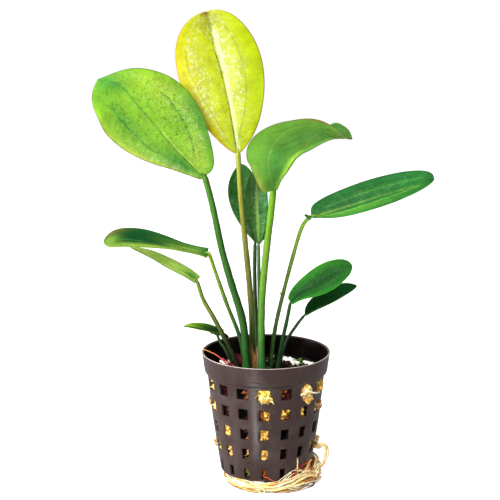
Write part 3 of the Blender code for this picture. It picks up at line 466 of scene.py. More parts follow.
        lines=((((0.05, -0.25), (0.3, -0.1), (0.5, 0.0), (0.75, 0.05)), 0.2, (0.046, 0.16, 0.02), 0.85),
               (((0.1, -0.5), (0.4, -0.45), (0.8, -0.4)), 0.3, (0.56, 0.68, 0.2), 0.7)),
        under=(0.31, 0.47, 0.11), rim=((0.095, 0.2, 0.022), (0.095, 0.2, 0.022)),
        stem_tint=((0.14, 0.22, 0.016), (0.11, 0.16, 0.015), (0.016, 0.022, 0.006), (0.007, 0.01, 0.005))),
    "small": dict(
        midrib=((-21.5, 1.0, 65.4), (-24.9, 1.5, 66.2), (-28.3, 2.0, 66.7), (-32.7, 3.0, 67.1),
                (-35.5, 3.8, 66.9)),
        faces=((0.0, -0.3, 1.0), (0.0, -0.3, 1.0)),
        width=(2.8, 3.6), base=(0.36, 0.42), tip=(0.8, 0.66), fold=(14, 9), curl=(0, 0),
        lobe=(4.5, 4.5),
        stem=((-19.8, 0.9, 61.0), (-17.6, 0.6, 57.7), (-15.1, 1.2, 51.8)),
        foot=(-14.0, 1.8), stem_r=(0.55, 0.6),
        grid=(100, 70), ripple=0.08, blister=0.04, shine=0.08, gloss=0.4, glow=0.08, shaded_side=0.4,
        tint=(0.014, 0.06, 0.002),
        patches=((0.85, 0.3, 0.25, 0.6, (0.16, 0.28, 0.015)), (0.6, 0.85, 0.3, 0.25, (0.093, 0.21, 0.009)),
                 (0.15, 0.0, 0.2, 0.8, (0.004, 0.018, 0.001))),
        marks=((0.5, 0.0, 0.6, 1.0, (0.2, 0.03, 0.5)),),
        lines=((((0.2, 0.3), (0.5, 0.4), (0.8, 0.45)), 0.2, (0.005, 0.018, 0.002), 0.8),
               (((0.3, -0.1), (0.6, 0.0), (0.9, 0.0)), 0.25, (0.14, 0.26, 0.012), 0.8)),
        under=(0.077, 0.16, 0.009), rim=((0.068, 0.12, 0.004), (0.085, 0.19, 0.007)),
        stem_tint=((0.02, 0.06, 0.01), (0.03, 0.07, 0.02), (0.02, 0.06, 0.015), (0.01, 0.03, 0.01))),
}
BLADE_HALF_THICKNESS = 0.22
BLADE_THINNING = 0.02
LOBE_SPAN = 0.08
HEEL_RISE = 0.04
STEM_RINGS = 90
STEM_SIDES = 20
STEM_START = 0.04
STEM_RELIEF = 0.08
SKIN_RELIEF = 0.12
CURVE_SAMPLES = 201
NO_TRIANGLES = np.zeros((0, 3), dtype=int)

# Roots. The single ones, and a twig of wool and a hair, are (path, radius at both ends, colour at
# both ends, slot)
ROOT_LOOP = ((20.0, -2.4, 15.4), (21.9, -3.8, 14.8), (23.3, -5.4, 16.6), (25.1, -5.2, 16.3),
             (26.1, -5.0, 13.6), (25.6, -4.8, 10.4), (24.4, -4.8, 7.4), (21.8, -5.0, 4.8),
             (20.6, -4.6, 3.2), (19.0, -9.0, 2.2))
SURFACE_ROOT = ((-32.6, -1.0, 58.1), (-29.6, -1.0, 58.3), (-27.2, -1.0, 58.1), (-24.8, -1.2, 57.3),
                (-21.5, -2.3, 56.0), (-18.0, -4.0, 53.7), (-15.4, -5.2, 51.2), (-13.4, -6.0, 48.8))
SINGLE_ROOTS = {
    "root_hair": (
        ((25.9, -5.2, 16.2), (27.4, -5.4, 16.0), (28.6, -5.5, 14.8), (29.6, -5.6, 13.2)),
        (0.12, 0.05), ((0.8, 0.6, 0.3), (0.7, 0.5, 0.25)), "root_cream"),
    "root_on_wall": (
        ((12.4, -13.6, 13.2), (12.9, -15.5, 14.4), (13.5, -15.9, 13.0), (13.4, -15.4, 9.6),
         (13.2, -14.9, 6.6), (13.0, -15.2, 3.6)),
        (0.26, 0.34), ((0.8, 0.56, 0.28), (0.85, 0.66, 0.36)), "root_cream"),
    "root_red_strand": (
        ((-1.0, -20.4, 6.9), (0.4, -21.0, 7.0), (2.2, -21.3, 6.0), (4.2, -21.0, 4.9), (5.6, -20.4, 4.0)),
        (0.2, 0.26), ((0.5, 0.05, 0.02), (0.62, 0.16, 0.04)), "root_red"),
    "root_front_loop": (
        ((-3.6, -21.6, 2.2), (-2.6, -22.8, 0.8), (-1.5, -23.2, 0.7), (-0.6, -22.9, 1.4),
         (-1.2, -22.3, 2.3), (-2.8, -21.8, 2.6)),
        (0.3, 0.34), ((0.86, 0.7, 0.4), (0.8, 0.56, 0.26)), "root_pale"),
    "wool_twig": (
        ((17.9, -18.6, 44.7), (19.2, -19.2, 44.4), (20.9, -17.6, 43.6), (22.6, -14.8, 43.1)),
        (0.42, 0.3), ((0.8, 0.62, 0.4), (0.9, 0.8, 0.6)), "wool_fibre"),
    "leaf_hair": (
        ((-34.2, 3.6, 66.9), (-35.6, 3.8, 66.8), (-36.9, 4.0, 66.2)),
        (0.16, 0.05), ((0.6, 0.62, 0.3), (0.8, 0.78, 0.5)), "leaf_small"),
}

# Radii and colours of the loop's roots, and the surface root's colours from its tip to the crown
LOOP_RADII = (0.55, 0.4, 0.34, 0.26, 0.2)
LOOP_TONES = ((0.86, 0.66, 0.3), (0.8, 0.52, 0.2), (0.9, 0.72, 0.4), (0.7, 0.42, 0.14), (0.88, 0.7, 0.4))
SURFACE_TONES = ((0.95, 0.8, 0.5), (0.9, 0.5, 0.12), (0.75, 0.14, 0.04), (0.4, 0.015, 0.05),
                 (0.4, 0.03, 0.03))
SURFACE_TONE_PLACES = (0.0, 0.2, 0.45, 0.7, 1.0)

# The mat: its middle, how many strands run in the ring and inside it, and the radii they run
# between, the bound they keep to and where the mat begins to fall off; how far a strand turns in
# radians, its height, the mat's height, and the strands' radii and colours with their shares
MAT_MID = (2.0, -1.0)
MAT_OUTER, MAT_INNER = 190, 70
MAT_CORE_R, MAT_RING_R, MAT_RIM_R = 4.0, 17.6, 21.4
MAT_BOUND_R = 19.4
MAT_SHOULDER_R = 18.5
MAT_TURN = (0.5, 2.6)
MAT_LEVEL = (0.3, 3.2)
MAT_TOP = 4.4
MAT_RADII = (0.14, 0.2, 0.28, 0.4, 0.5)
MAT_TONES = ((1.0, 0.9, 0.58), (0.94, 0.7, 0.3), (0.8, 0.44, 0.11), (0.5, 0.16, 0.04), (0.3, 0.02, 0.02))
MAT_SHARES = (0.35, 0.25, 0.18, 0.14, 0.08)

# Shapes


def unit(vectors):
    """Vectors brought to length one."""
    return vectors / np.linalg.norm(vectors, axis=-1, keepdims=True)


def ease(low, high, values):
    """A smooth step: 0 below low, 1 above high, three times the square less twice the cube between."""
    share = np.clip((values - low) / (high - low), 0.0, 1.0)
    return share * share * (3.0 - 2.0 * share)


def wander(points, length, seed, waves=20):
    """A smooth random field over points: a sum of sine waves of about one length, each in a
    random direction with a random phase, scaled to a spread of about one."""
    rng = np.random.default_rng(seed)
    directions = unit(rng.normal(size=(waves, points.shape[-1])))
    numbers = 2.0 * math.pi / (length * rng.uniform(0.6, 1.7, waves))
    phases = rng.uniform(0.0, 2.0 * math.pi, waves)
    return np.sin(points @ (directions * numbers[:, None]).T + phases).sum(-1) * math.sqrt(2.0 / waves)


def add_waves(points, waves):
    """Several random fields added up, each given as (strength, length, seed)."""
    return sum(strength * wander(points, length, seed) for strength, length, seed in waves)


def upright(radius, angle, height):
    """Places at a radius, an angle from the front and a height, around the pot's axis."""
    return np.stack([radius * np.sin(angle), -radius * np.cos(angle), height], axis=-1)


def read_at(wanted, known, values):
    """Rows of values between known places, read at the wanted places in straight steps."""
    return np.stack([np.interp(wanted, known, values[:, k]) for k in range(values.shape[1])], axis=-1)


def curve_samples(points):
    """Even points on a smooth curve through the given points: a cubic from each to the next, that
    leaves and arrives in the direction from the point before to the point after."""
    given = np.array(points, dtype=float)
    given = np.vstack([2 * given[0] - given[1], given, 2 * given[-1] - given[-2]])
    t = np.linspace(0.0, 1.0, 40, endpoint=False)[:, None]
    spans = []
    for a, b, c, d in zip(given, given[1:], given[2:], given[3:]):
        spans.append(0.5 * (2 * b + (c - a) * t + (2 * a - 5 * b + 4 * c - d) * t ** 2
                            + (3 * b - a - 3 * c + d) * t ** 3))
    fine = np.vstack(spans + [given[-2][None]])
    steps = np.linalg.norm(np.diff(fine, axis=0), axis=1)
    length = np.concatenate([[0.0], np.cumsum(steps)]) / steps.sum()
    return read_at(np.linspace(0.0, 1.0, CURVE_SAMPLES), length, fine)


def along_curve(points, share):
    """The place and the direction at each share of the way along the curve through the points."""
    samples = curve_samples(points)
    even = np.linspace(0.0, 1.0, CURVE_SAMPLES)
    return read_at(share, even, samples), read_at(share, even, unit(np.gradient(samples, axis=0)))


def face_directions(faces, along):
    """The way the upper side looks at each place along the leaf, eased from hint to hint."""
    hints = unit(np.array(faces, dtype=float))
    spans = len(hints) - 1
    looking = np.zeros((*along.shape, 3)) + hints[0]
    for i in range(spans):
        share = ease(0.0, 1.0, spans * along - i)[..., None]
        looking = looking + share * (hints[i + 1] - hints[i])
    return unit(looking)


def blade_opening(leaf, along, left):
    """How far each half opens at a place along the blade, as a share of its half width."""
    slow, blunt = (np.where(left, *leaf[key]) for key in ("base", "tip"))
    widest = slow / (slow + blunt)
    opening = (along / widest) ** slow * ((1.0 - along) / (1.0 - widest)) ** blunt
    return opening + leaf["heel"] * (1.0 - along) ** 6 * np.sqrt(np.clip(along / HEEL_RISE, 0.0, 1.0))


def blade_points(leaf, along, across):
    """Places on a blade: along runs from base (0) to tip (1), across from left (-1) to right (1).

    Each half is an arc that leaves the midrib at the fold angle and bends by the curl angle
    over the half width. The half width opens and closes as two powers of the length.
    """
    centre, ahead = along_curve(leaf["midrib"], along)
    chord = unit(np.array(leaf["midrib"][-1]) - leaf["midrib"][0])
    ahead = unit((1.0 - leaf["steady"]) * ahead + leaf["steady"] * chord)
    side = unit(np.cross(ahead, face_directions(leaf["faces"], along)))
    upward = np.cross(side, ahead)

    left = across < 0
    half = {key: np.where(left, *leaf[key]) for key in ("width", "fold", "curl")}
    reach = blade_opening(leaf, along, left) * np.abs(across)
    bend = np.radians(half["curl"]) * reach / 2.0
    angle = np.radians(half["fold"]) + bend
    chord_length = reach * half["width"] * np.sinc(bend / math.pi)
    out = chord_length * np.cos(angle) * np.sign(across)
    lift = chord_length * np.sin(angle)
    step = along / LOBE_SPAN
    back = np.where(left, *leaf["lobe"]) * (across * step * np.exp(1.0 - step)) ** 2
    return centre + out[..., None] * side + lift[..., None] * upward - back[..., None] * ahead


def grid_quads(index, closed=False):
    """Four corners for each cell of a grid of vertex numbers, whose columns may go full circle."""
    if closed:
        index = np.concatenate([index, index[:, :1]], axis=1)
    return np.stack([index[:-1, :-1], index[:-1, 1:], index[1:, 1:], index[1:, :-1]], axis=-1).reshape(-1, 4)


def tube_parts(centres, radii, sides):
    """Vertices, four-cornered faces and three-cornered faces of many tubes at once.

    centres is (tubes, rings, 3) and radii (tubes, rings). Each ring is a circle about the path's
    direction, and its first side is carried along without turning. Each end closes in a point.
    """
    tubes, rings, _ = centres.shape
    ahead = unit(np.gradient(centres, axis=1))
    least = np.argmin(np.abs(ahead[:, 0]), axis=1)
    first = np.eye(3)[least]
    sideways = np.empty_like(centres)
    for ring in range(rings):
        first = unit(first - (first * ahead[:, ring]).sum(-1, keepdims=True) * ahead[:, ring])
        sideways[:, ring] = first
    upward = np.cross(ahead, sideways)
    turns = np.linspace(0.0, 2.0 * math.pi, sides, endpoint=False)
    rim = np.cos(turns)[:, None] * sideways[:, :, None] + np.sin(turns)[:, None] * upward[:, :, None]
    points = centres[:, :, None] + rim * radii[..., None, None]
    poles = np.stack([centres[:, 0], centres[:, -1]], axis=1)

    each = rings * sides
    index = np.arange(tubes * each).reshape(tubes, rings, sides)
    across = np.roll(index, -1, axis=2)
    quads = np.stack([index[:, :-1], across[:, :-1], across[:, 1:], index[:, 1:]], axis=-1).reshape(-1, 4)
    start = tubes * each + 2 * np.arange(tubes)[:, None] + np.zeros((1, sides), dtype=int)
    head = np.stack([start, across[:, 0], index[:, 0]], axis=-1)
    tail = np.stack([start + 1, index[:, -1], across[:, -1]], axis=-1)
    triangles = np.concatenate([head, tail]).reshape(-1, 3)
    return np.concatenate([points.reshape(-1, 3), poles.reshape(-1, 3)]), quads, triangles


def per_tube(values, rings, sides):
    """A value for each tube or ring, repeated for the vertices that tube_parts makes."""
    values = np.asarray(values, dtype=float)
    if values.ndim == 2:
        values = np.repeat(values[:, None], rings, axis=1)
    spread = np.repeat(values[:, :, None], sides, axis=2).reshape(-1, values.shape[-1])
    ends = np.stack([values[:, 0], values[:, -1]], axis=1).reshape(-1, values.shape[-1])
    return np.concatenate([spread, ends])


def ball_parts(centres, radii, rings, around):
    """Vertices and faces of many balls at once: rings of points between two poles, each ball
    stretched by its three radii and moved to its centre."""
    tilt = np.linspace(0.0, math.pi, rings + 2)[1:-1, None]
    turn = np.linspace(0.0, 2.0 * math.pi, around, endpoint=False)[None]
    shell = np.stack([np.sin(tilt) * np.cos(turn), np.sin(tilt) * np.sin(turn), np.cos(tilt) + 0.0 * turn],
                     axis=-1)
    shell = np.concatenate([shell.reshape(-1, 3), [[0.0, 0.0, 1.0], [0.0, 0.0, -1.0]]])
    index = np.arange(rings * around).reshape(rings, around)
    ahead = np.roll(index, -1, axis=1)
    quads = np.stack([index[:-1], index[1:], ahead[1:], ahead[:-1]], axis=-1).reshape(-1, 4)
    top, low = np.full(around, rings * around), np.full(around, rings * around + 1)
    caps = (top, index[0], ahead[0]), (low, ahead[-1], index[-1])
    triangles = np.concatenate([np.stack(cap, axis=-1) for cap in caps])
    points = centres[:, None] + shell[None] * radii[:, None]
    shift = (np.arange(len(centres)) * len(shell))[:, None, None]
    return points, (quads[None] + shift).reshape(-1, 4), (triangles[None] + shift).reshape(-1, 3)


def uneven_balls(places, sizes, shape, waves, limits=(-math.inf, math.inf)):
    """Balls drawn in and out about their centres by waves of noise, and how far each vertex is
    drawn before it is held between the limits."""
    points, quads, triangles = ball_parts(places, sizes, *shape)
    drawn = 1.0 + add_waves(points, waves)
    points = places[:, None] + (points - places[:, None]) * np.clip(drawn, *limits)[..., None]
    return points, quads, triangles, drawn


def add_piece(name, points, quads, triangles, tint, material, nodes=(), uv=None, marks=None):
    """A smooth mesh from points in millimetres, with its colour in the attribute "tint" and the
    strengths of its skin patterns in the attribute "marks"."""
    mesh = bpy.data.meshes.new(name)
    points = points.reshape(-1, 3)
    loops = np.concatenate([quads.ravel(), triangles.ravel()]).astype(np.int32)
    starts = np.concatenate([np.arange(len(quads)) * 4, len(quads) * 4 + np.arange(len(triangles)) * 3])
    mesh.vertices.add(len(points))
    mesh.vertices.foreach_set("co", (points * MM).astype(np.float32).ravel())
    mesh.loops.add(len(loops))
    mesh.loops.foreach_set("vertex_index", loops)
    mesh.polygons.add(len(starts))
    mesh.polygons.foreach_set("loop_start", starts.astype(np.int32))
    mesh.polygons.foreach_set("use_smooth", np.ones(len(starts), dtype=bool))
    for label, values in (("tint", tint), ("marks", marks)):
        if values is not None:
            colours = np.ones((len(points), 4), dtype=np.float32)
            colours[:, :3] = np.clip(values.reshape(-1, 3), 0.0, 1.0)
            mesh.attributes.new(label, "FLOAT_COLOR", "POINT").data.foreach_set("color", colours.ravel())
    if uv is not None:
        layer = mesh.uv_layers.new(name="blade")
        layer.data.foreach_set("uv", uv[loops].astype(np.float32).ravel())
    mesh.update(calc_edges=True)
    mesh.validate()
    obj = bpy.data.objects.new(name, mesh)
    bpy.context.scene.collection.objects.link(obj)
    mesh.materials.append(material)
    if nodes:
        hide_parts(*nodes)
    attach(obj, "root")
    return obj


def add_tubes(name, paths, radii, sides, tones, material, nodes=()):
    """A piece of many tubes, each tube or each ring in its own tone."""
    points, quads, triangles = tube_parts(paths, radii, sides)
    tint = per_tube(tones, paths.shape[1], sides)
    return add_piece(name, points, quads, triangles, tint, material, nodes)


# Materials


def new_group(name, inputs, outputs):
    """An empty shader group with number or colour sockets, and its two end nodes."""
    group = bpy.data.node_groups.new(name, "ShaderNodeTree")
    kinds = {float: "NodeSocketFloat", tuple: "NodeSocketColor"}
    for label, value in inputs.items():
        socket = group.interface.new_socket(label, in_out="INPUT", socket_type=kinds[type(value)])
        socket.default_value = (*value, 1.0) if isinstance(value, tuple) else value
    for label, kind in outputs.items():
        group.interface.new_socket(label, in_out="OUTPUT", socket_type=kinds[kind])
    return group, group.nodes.new("NodeGroupInput"), group.nodes.new("NodeGroupOutput")


def node(tree, kind, links=(), **values):
    """A node with plain values set on it, and links from sockets into its named inputs."""
    made = tree.nodes.new(kind)
    for key, value in values.items():
        setattr(made, key, value)
    for key, source in dict(links).items():
        if isinstance(source, (int, float, tuple)):
            made.inputs[key].default_value = source
        else:
            tree.links.new(source, made.inputs[key])
    return made


def object_place(tree):
    """The place on the object, in its own space."""
    return node(tree, "ShaderNodeTexCoord").outputs["Object"]


def noise(tree, place, scale, detail=3.0, rough=0.55, distortion=0.0):
    """A cloudy noise between 0 and 1."""
    return node(tree, "ShaderNodeTexNoise", {"Vector": place, "Scale": scale, "Detail": detail,
                                             "Roughness": rough, "Distortion": distortion}).outputs["Fac"]


def stretch(tree, place, scale):
    """Places scaled axis by axis, so that a noise comes out drawn along one of them."""
    return node(tree, "ShaderNodeMapping", {"Vector": place, "Scale": scale}).outputs["Vector"]


def remap(tree, value, low, high, new_low, new_high):
    """A value's range from low to high, held at its ends, brought to a new range."""
    return node(tree, "ShaderNodeMapRange", {"Value": value, "From Min": low, "From Max": high,
                                             "To Min": new_low, "To Max": new_high}).outputs["Result"]


def around_zero(tree, value, most):
    """A noise's middle range as a number between minus and plus the most."""
    return remap(tree, value, 0.3, 0.7, -most, most)


def math_node(tree, operation, a, b=0.0):
    """One step of arithmetic on numbers or sockets."""
    return node(tree, "ShaderNodeMath", {0: a, 1: b}, operation=operation).outputs["Value"]


def times(tree, a, b):
    """The product of two numbers or sockets."""
    return math_node(tree, "MULTIPLY", a, b)


def plus(tree, a, b):
    """The sum of two numbers or sockets."""
    return math_node(tree, "ADD", a, b)


def blend(tree, share, a, b, kind="MIX"):
    """Colour a turned into colour b by a share."""
    made = node(tree, "ShaderNodeMix", {"Factor": share, 6: a, 7: b}, data_type="RGBA", blend_type=kind)
    return made.outputs[2]


def shade(tree, colour, amount):
    """A colour made brighter or darker by a number."""
    grey = node(tree, "ShaderNodeCombineColor", {"Red": amount, "Green": amount, "Blue": amount}).outputs[0]
    return blend(tree, 1.0, colour, grey, "MULTIPLY")


def leaf_skin_group():
    """Colour, roughness and relief of leaf skin: a net of fine veins, blotches, dark specks, a fine
    grain, and pale flecks and a paled net as painted glints."""
    group, start, end = new_group(
        "leaf_skin", {"Tint": (0.2, 0.4, 0.1), "Net": 0.3, "Glint": 0.0, "Speck": 0.0, "Gloss": 0.35},
        {"Colour": tuple, "Roughness": float, "Height": float})
    given = start.outputs
    place = object_place(group)
    drift = node(group, "ShaderNodeTexNoise", {"Vector": place, "Scale": 900.0}).outputs["Color"]
    bent = node(group, "ShaderNodeVectorMath", {0: drift, 1: (0.0006, 0.0006, 0.0006), 2: place},
                operation="MULTIPLY_ADD").outputs["Vector"]
    cells = node(group, "ShaderNodeTexVoronoi", {"Vector": bent, "Scale": 1050.0},
                 feature="DISTANCE_TO_EDGE").outputs["Distance"]
    net = remap(group, cells, 0.02, 0.13, 1.0, 0.0)
    blotch = noise(group, place, 170.0, 4.0, 0.6)
    grain = noise(group, place, 3600.0, 2.0)
    ragged = noise(group, place, 720.0, 4.0, 0.72, 0.8)
    glint_fleck = remap(group, ragged, 0.53, 0.58, 0.0, 1.0)
    speck = remap(group, noise(group, place, 800.0, 4.0, 0.7), 0.54, 0.6, 0.0, 1.0)

    dark = times(group, times(group, net, given["Net"]), 0.5)
    clouds = remap(group, blotch, 0.35, 0.65, -0.15, 0.13)
    amount = plus(group, math_node(group, "SUBTRACT", 1.08, dark), clouds)
    amount = plus(group, amount, around_zero(group, grain, 0.07))
    skin = shade(group, given["Tint"], amount)
    deep = blend(group, 1.0, skin, (0.3, 0.6, 0.35, 1.0), "MULTIPLY")
    skin = blend(group, times(group, speck, given["Speck"]), skin, deep)
    # Painted glint: flecks and the net's veins turned towards near-white.
    pale = blend(group, 0.85, given["Tint"], (1.0, 1.0, 0.8, 1.0))
    lit_net = math_node(group, "MAXIMUM", glint_fleck, times(group, net, 0.25))
    colour = blend(group, times(group, lit_net, given["Glint"]), skin, pale)
    uneven = plus(group, around_zero(group, blotch, 0.07), around_zero(group, grain, 0.05))
    sunk = math_node(group, "SUBTRACT", times(group, ragged, 0.8), times(group, net, 0.35))
    group.links.new(colour, end.inputs["Colour"])
    group.links.new(plus(group, given["Gloss"], uneven), end.inputs["Roughness"])
    group.links.new(plus(group, sunk, times(group, grain, 0.15)), end.inputs["Height"])
    return group


def fibre_group():
    """Colour and relief of rock wool, fibres and roots: streaks, speckles and dark grains."""
    group, start, end = new_group("fibre", {"Tint": (0.6, 0.4, 0.2), "Scale": 900.0, "Contrast": 0.5},
                                  {"Colour": tuple, "Height": float})
    place = object_place(group)
    lumps = noise(group, place, start.outputs["Scale"], 4.0, 0.65, 0.6)
    specks = noise(group, place, 2600.0, 2.0)
    both = plus(group, times(group, lumps, 0.7), times(group, specks, 0.3))
    spread = times(group, math_node(group, "SUBTRACT", both, 0.5), start.outputs["Contrast"])
    amount = plus(group, 1.0, times(group, spread, 3.0))
    group.links.new(shade(group, start.outputs["Tint"], amount), end.inputs["Colour"])
    group.links.new(both, end.inputs["Height"])
    return group


def plastic_group():
    """Colour, roughness and relief of the moulded pot: faint flow marks, dust and fine grain."""
    group, start, end = new_group(
        "moulded_plastic", {"Tint": (0.1, 0.08, 0.08), "Dust": 0.2},
        {"Colour": tuple, "Roughness": float, "Height": float})
    place = object_place(group)
    cloud = noise(group, place, 90.0, 4.0, 0.6, 0.4)
    flow = noise(group, stretch(group, place, (260.0, 260.0, 40.0)), 1.0, 3.0)
    grain = noise(group, place, 3800.0, 2.0)
    dust = times(group, remap(group, cloud, 0.45, 0.75, 0.0, 1.0), start.outputs["Dust"])
    base = shade(group, start.outputs["Tint"], remap(group, flow, 0.3, 0.7, 0.9, 1.1))
    uneven = plus(group, remap(group, cloud, 0.3, 0.7, 0.2, 0.32), times(group, grain, 0.1))
    relief = plus(group, times(group, flow, 0.7), times(group, grain, 0.3))
    group.links.new(blend(group, dust, base, (0.3, 0.26, 0.24, 1.0)), end.inputs["Colour"])
    group.links.new(uneven, end.inputs["Roughness"])
    group.links.new(relief, end.inputs["Height"])
    return group


def start_material(name, values):
    """A new material and its tree and shader, with numbers and colours set on the shader."""
    material = bpy.data.materials.new(name)
    material.use_nodes = True
    shader = material.node_tree.nodes["Principled BSDF"]
    for label, value in values.items():
        shader.inputs[label].default_value = value
    return material, material.node_tree, shader


def painted(tree, name="tint"):
    """The colour painted on the mesh under a name."""
    return node(tree, "ShaderNodeAttribute", attribute_name=name).outputs["Color"]


def add_relief(tree, shader, height, depth):
    """Bumps of a depth in millimetres on the shader, from a height between 0 and 1."""
    bump = node(tree, "ShaderNodeBump", {"Height": height, "Distance": depth * MM, "Strength": 1.0})
    tree.links.new(bump.outputs["Normal"], shader.inputs["Normal"])
    return bump


def leaf_material(name, group, leaf):
    """Leaf skin that also lets light through from behind."""
    material, tree, shader = start_material(name, {"Specular IOR Level": leaf["shine"]})
    tint = painted(tree)
    strengths = node(tree, "ShaderNodeSeparateColor", {0: painted(tree, "marks")})
    skin = node(tree, "ShaderNodeGroup", node_tree=group)
    tree.links.new(tint, skin.inputs["Tint"])
    for socket, channel in (("Net", "Red"), ("Glint", "Green"), ("Speck", "Blue")):
        tree.links.new(strengths.outputs[channel], skin.inputs[socket])
    skin.inputs["Gloss"].default_value = leaf["gloss"]
    tree.links.new(skin.outputs["Colour"], shader.inputs["Base Color"])
    tree.links.new(skin.outputs["Roughness"], shader.inputs["Roughness"])
    bump = add_relief(tree, shader, skin.outputs["Height"], SKIN_RELIEF)
    through = node(tree, "ShaderNodeBsdfTranslucent", {"Color": tint})
    tree.links.new(bump.outputs["Normal"], through.inputs["Normal"])
    mix = node(tree, "ShaderNodeMixShader", {0: leaf["glow"]})
    tree.links.new(shader.outputs[0], mix.inputs[1])
    tree.links.new(through.outputs[0], mix.inputs[2])
    tree.links.new(mix.outputs[0], tree.nodes["Material Output"].inputs["Surface"])
    return material


def stem_material(name):
    """Stalk skin: fine lengthwise streaks over the painted colour, with painted shade where it turns away
    from the view.
    """
    material, tree, shader = start_material(name, {"Specular IOR Level": 0.2})
    place = object_place(tree)
    streaks = noise(tree, stretch(tree, place, (2600.0, 2600.0, 130.0)), 1.0, 3.0, 0.6)
    specks = noise(tree, place, 1400.0, 2.0)
    amount = plus(tree, remap(tree, streaks, 0.3, 0.7, 0.62, 1.22), around_zero(tree, specks, 0.12))
    # Painted shade: darker where the surface turns away from the view.
    facing_shade = node(tree, "ShaderNodeLayerWeight", {0: 0.5}).outputs["Facing"]
    amount = times(tree, amount, remap(tree, facing_shade, 0.3, 0.9, 1.12, 0.35))
    tree.links.new(shade(tree, painted(tree), amount), shader.inputs["Base Color"])
    tree.links.new(remap(tree, specks, 0.3, 0.7, 0.34, 0.5), shader.inputs["Roughness"])
    add_relief(tree, shader, streaks, STEM_RELIEF)
    return material


def fibre_material(name, group, scale, contrast, roughness, depth):
    """Wool, roots, crown or crumbs: the fibre group on the painted colour."""
    material, tree, shader = start_material(name, {"Specular IOR Level": 0.15, "Roughness": roughness})
    fibre = node(tree, "ShaderNodeGroup", node_tree=group)
    tree.links.new(painted(tree), fibre.inputs["Tint"])
    fibre.inputs["Scale"].default_value = scale
    fibre.inputs["Contrast"].default_value = contrast
    tree.links.new(fibre.outputs["Colour"], shader.inputs["Base Color"])
    add_relief(tree, shader, fibre.outputs["Height"], depth)
    return material


def pot_material(name, group, tint, dust, shine):
    """Moulded plastic with a painted highlight on the lip at the front of the rim and a dull dark scratch."""
    material, tree, shader = start_material(name, {"Specular IOR Level": shine})
    plastic = node(tree, "ShaderNodeGroup", node_tree=group)
    plastic.inputs["Tint"].default_value = (*tint, 1.0)
    plastic.inputs["Dust"].default_value = dust
    place = node(tree, "ShaderNodeSeparateXYZ", {0: object_place(tree)}).outputs
    # Painted highlight: the top of the lip turns pale towards the front.
    high = remap(tree, place["Z"], (POT_RIM_Z - 0.3) * MM, (POT_RIM_Z - 0.1) * MM, 0.0, 1.0)
    lip = times(tree, high, remap(tree, place["Y"], -8.0 * MM, 6.0 * MM, 1.0, 0.0))
    lip_highlighted = blend(tree, lip, plastic.outputs["Colour"], (*POT_LIP_HIGHLIGHT, 1.0))
    x, z = SCRATCH["place"]
    beside = math_node(tree, "SUBTRACT", place["X"], x * MM)
    level = math_node(tree, "SUBTRACT", math_node(tree, "SUBTRACT", place["Z"], z * MM),
                      times(tree, beside, SCRATCH["slope"]))
    half_length, half_width = SCRATCH["half_length"] * MM, SCRATCH["half_width"] * MM
    reach = remap(tree, math_node(tree, "ABSOLUTE", beside), half_length, 0.7 * half_length, 0.0, 1.0)
    thin = remap(tree, math_node(tree, "ABSOLUTE", level), half_width, 0.4 * half_width, 0.0, 0.75)
    scratch = times(tree, times(tree, reach, thin), math_node(tree, "LESS_THAN", place["Y"], 0.0))
    rough = math_node(tree, "MAXIMUM", plastic.outputs["Roughness"], scratch)
    tree.links.new(blend(tree, scratch, lip_highlighted, (*SCRATCH_TINT, 1.0)), shader.inputs["Base Color"])
    tree.links.new(rough, shader.inputs["Roughness"])
    add_relief(tree, shader, plastic.outputs["Height"], POT_RELIEF)
    return material


# Leaves and stalks


def add_patches(values, patches, along, across):
    """Values drawn towards each patch's own, by two bell curves, along and across."""
    for at, beside, length, width, goal in patches:
        share = np.exp(-((along - at) / length) ** 2 - ((across - beside) / width) ** 2)[..., None]
        values = values + share * (np.array(goal) - values)
    return values


def line_shares(lines, along, across, half_width):
    """How strongly each line covers each place: a bell curve of its width in millimetres across
    its path, faded in and out at the path's two ends and uneven along it."""
    fields = np.stack([along * 60.0, across * half_width], axis=-1)
    uneven = 0.8 + 0.25 * wander(fields, 1.8, 12)
    shares = []
    for path, width, _, strength in lines:
        path = ((0.0, path), (1.0, path)) if isinstance(path, float) else path
        at, beside = zip(*path)
        fade = ease(at[0] - 0.01, at[0] + 0.07, along) * (1.0 - ease(at[-1] - 0.1, at[-1] + 0.02, along))
        apart = (across - np.interp(along, at, beside)) * half_width
        shares.append(np.clip(strength * fade * uneven * np.exp(-(apart / width) ** 2), 0.0, 1.0))
    return shares


def blade_tint(leaf, along, across, half_width, upper):
    """The painted colour of one side of a blade: patches, then lines, then the edge."""
    base = leaf["tint"] if upper else leaf["under"]
    patches = leaf["patches"] if upper else leaf["under_patches"]
    vein = tuple(min(1.0, 1.5 * value) for value in leaf["under"])
    plain = tuple((beside, 0.3, vein, 0.6) for beside in (-0.5, 0.0, 0.5))
    lines = leaf["lines"] if upper else leaf.get("under_lines", plain)
    colour = add_patches(np.zeros((*along.shape, 3)) + np.array(base), patches, along, across)
    for share, line in zip(line_shares(lines, along, across, half_width), lines):
        colour = colour + share[..., None] * (np.array(line[2]) - colour)
    inside = (1.0 - np.abs(across)) * half_width
    rim = np.where((across < 0)[..., None], *(np.array(tone) for tone in leaf["rim"]))
    return colour + (1.0 - ease(0.15, 0.6, inside))[..., None] * (rim - colour)


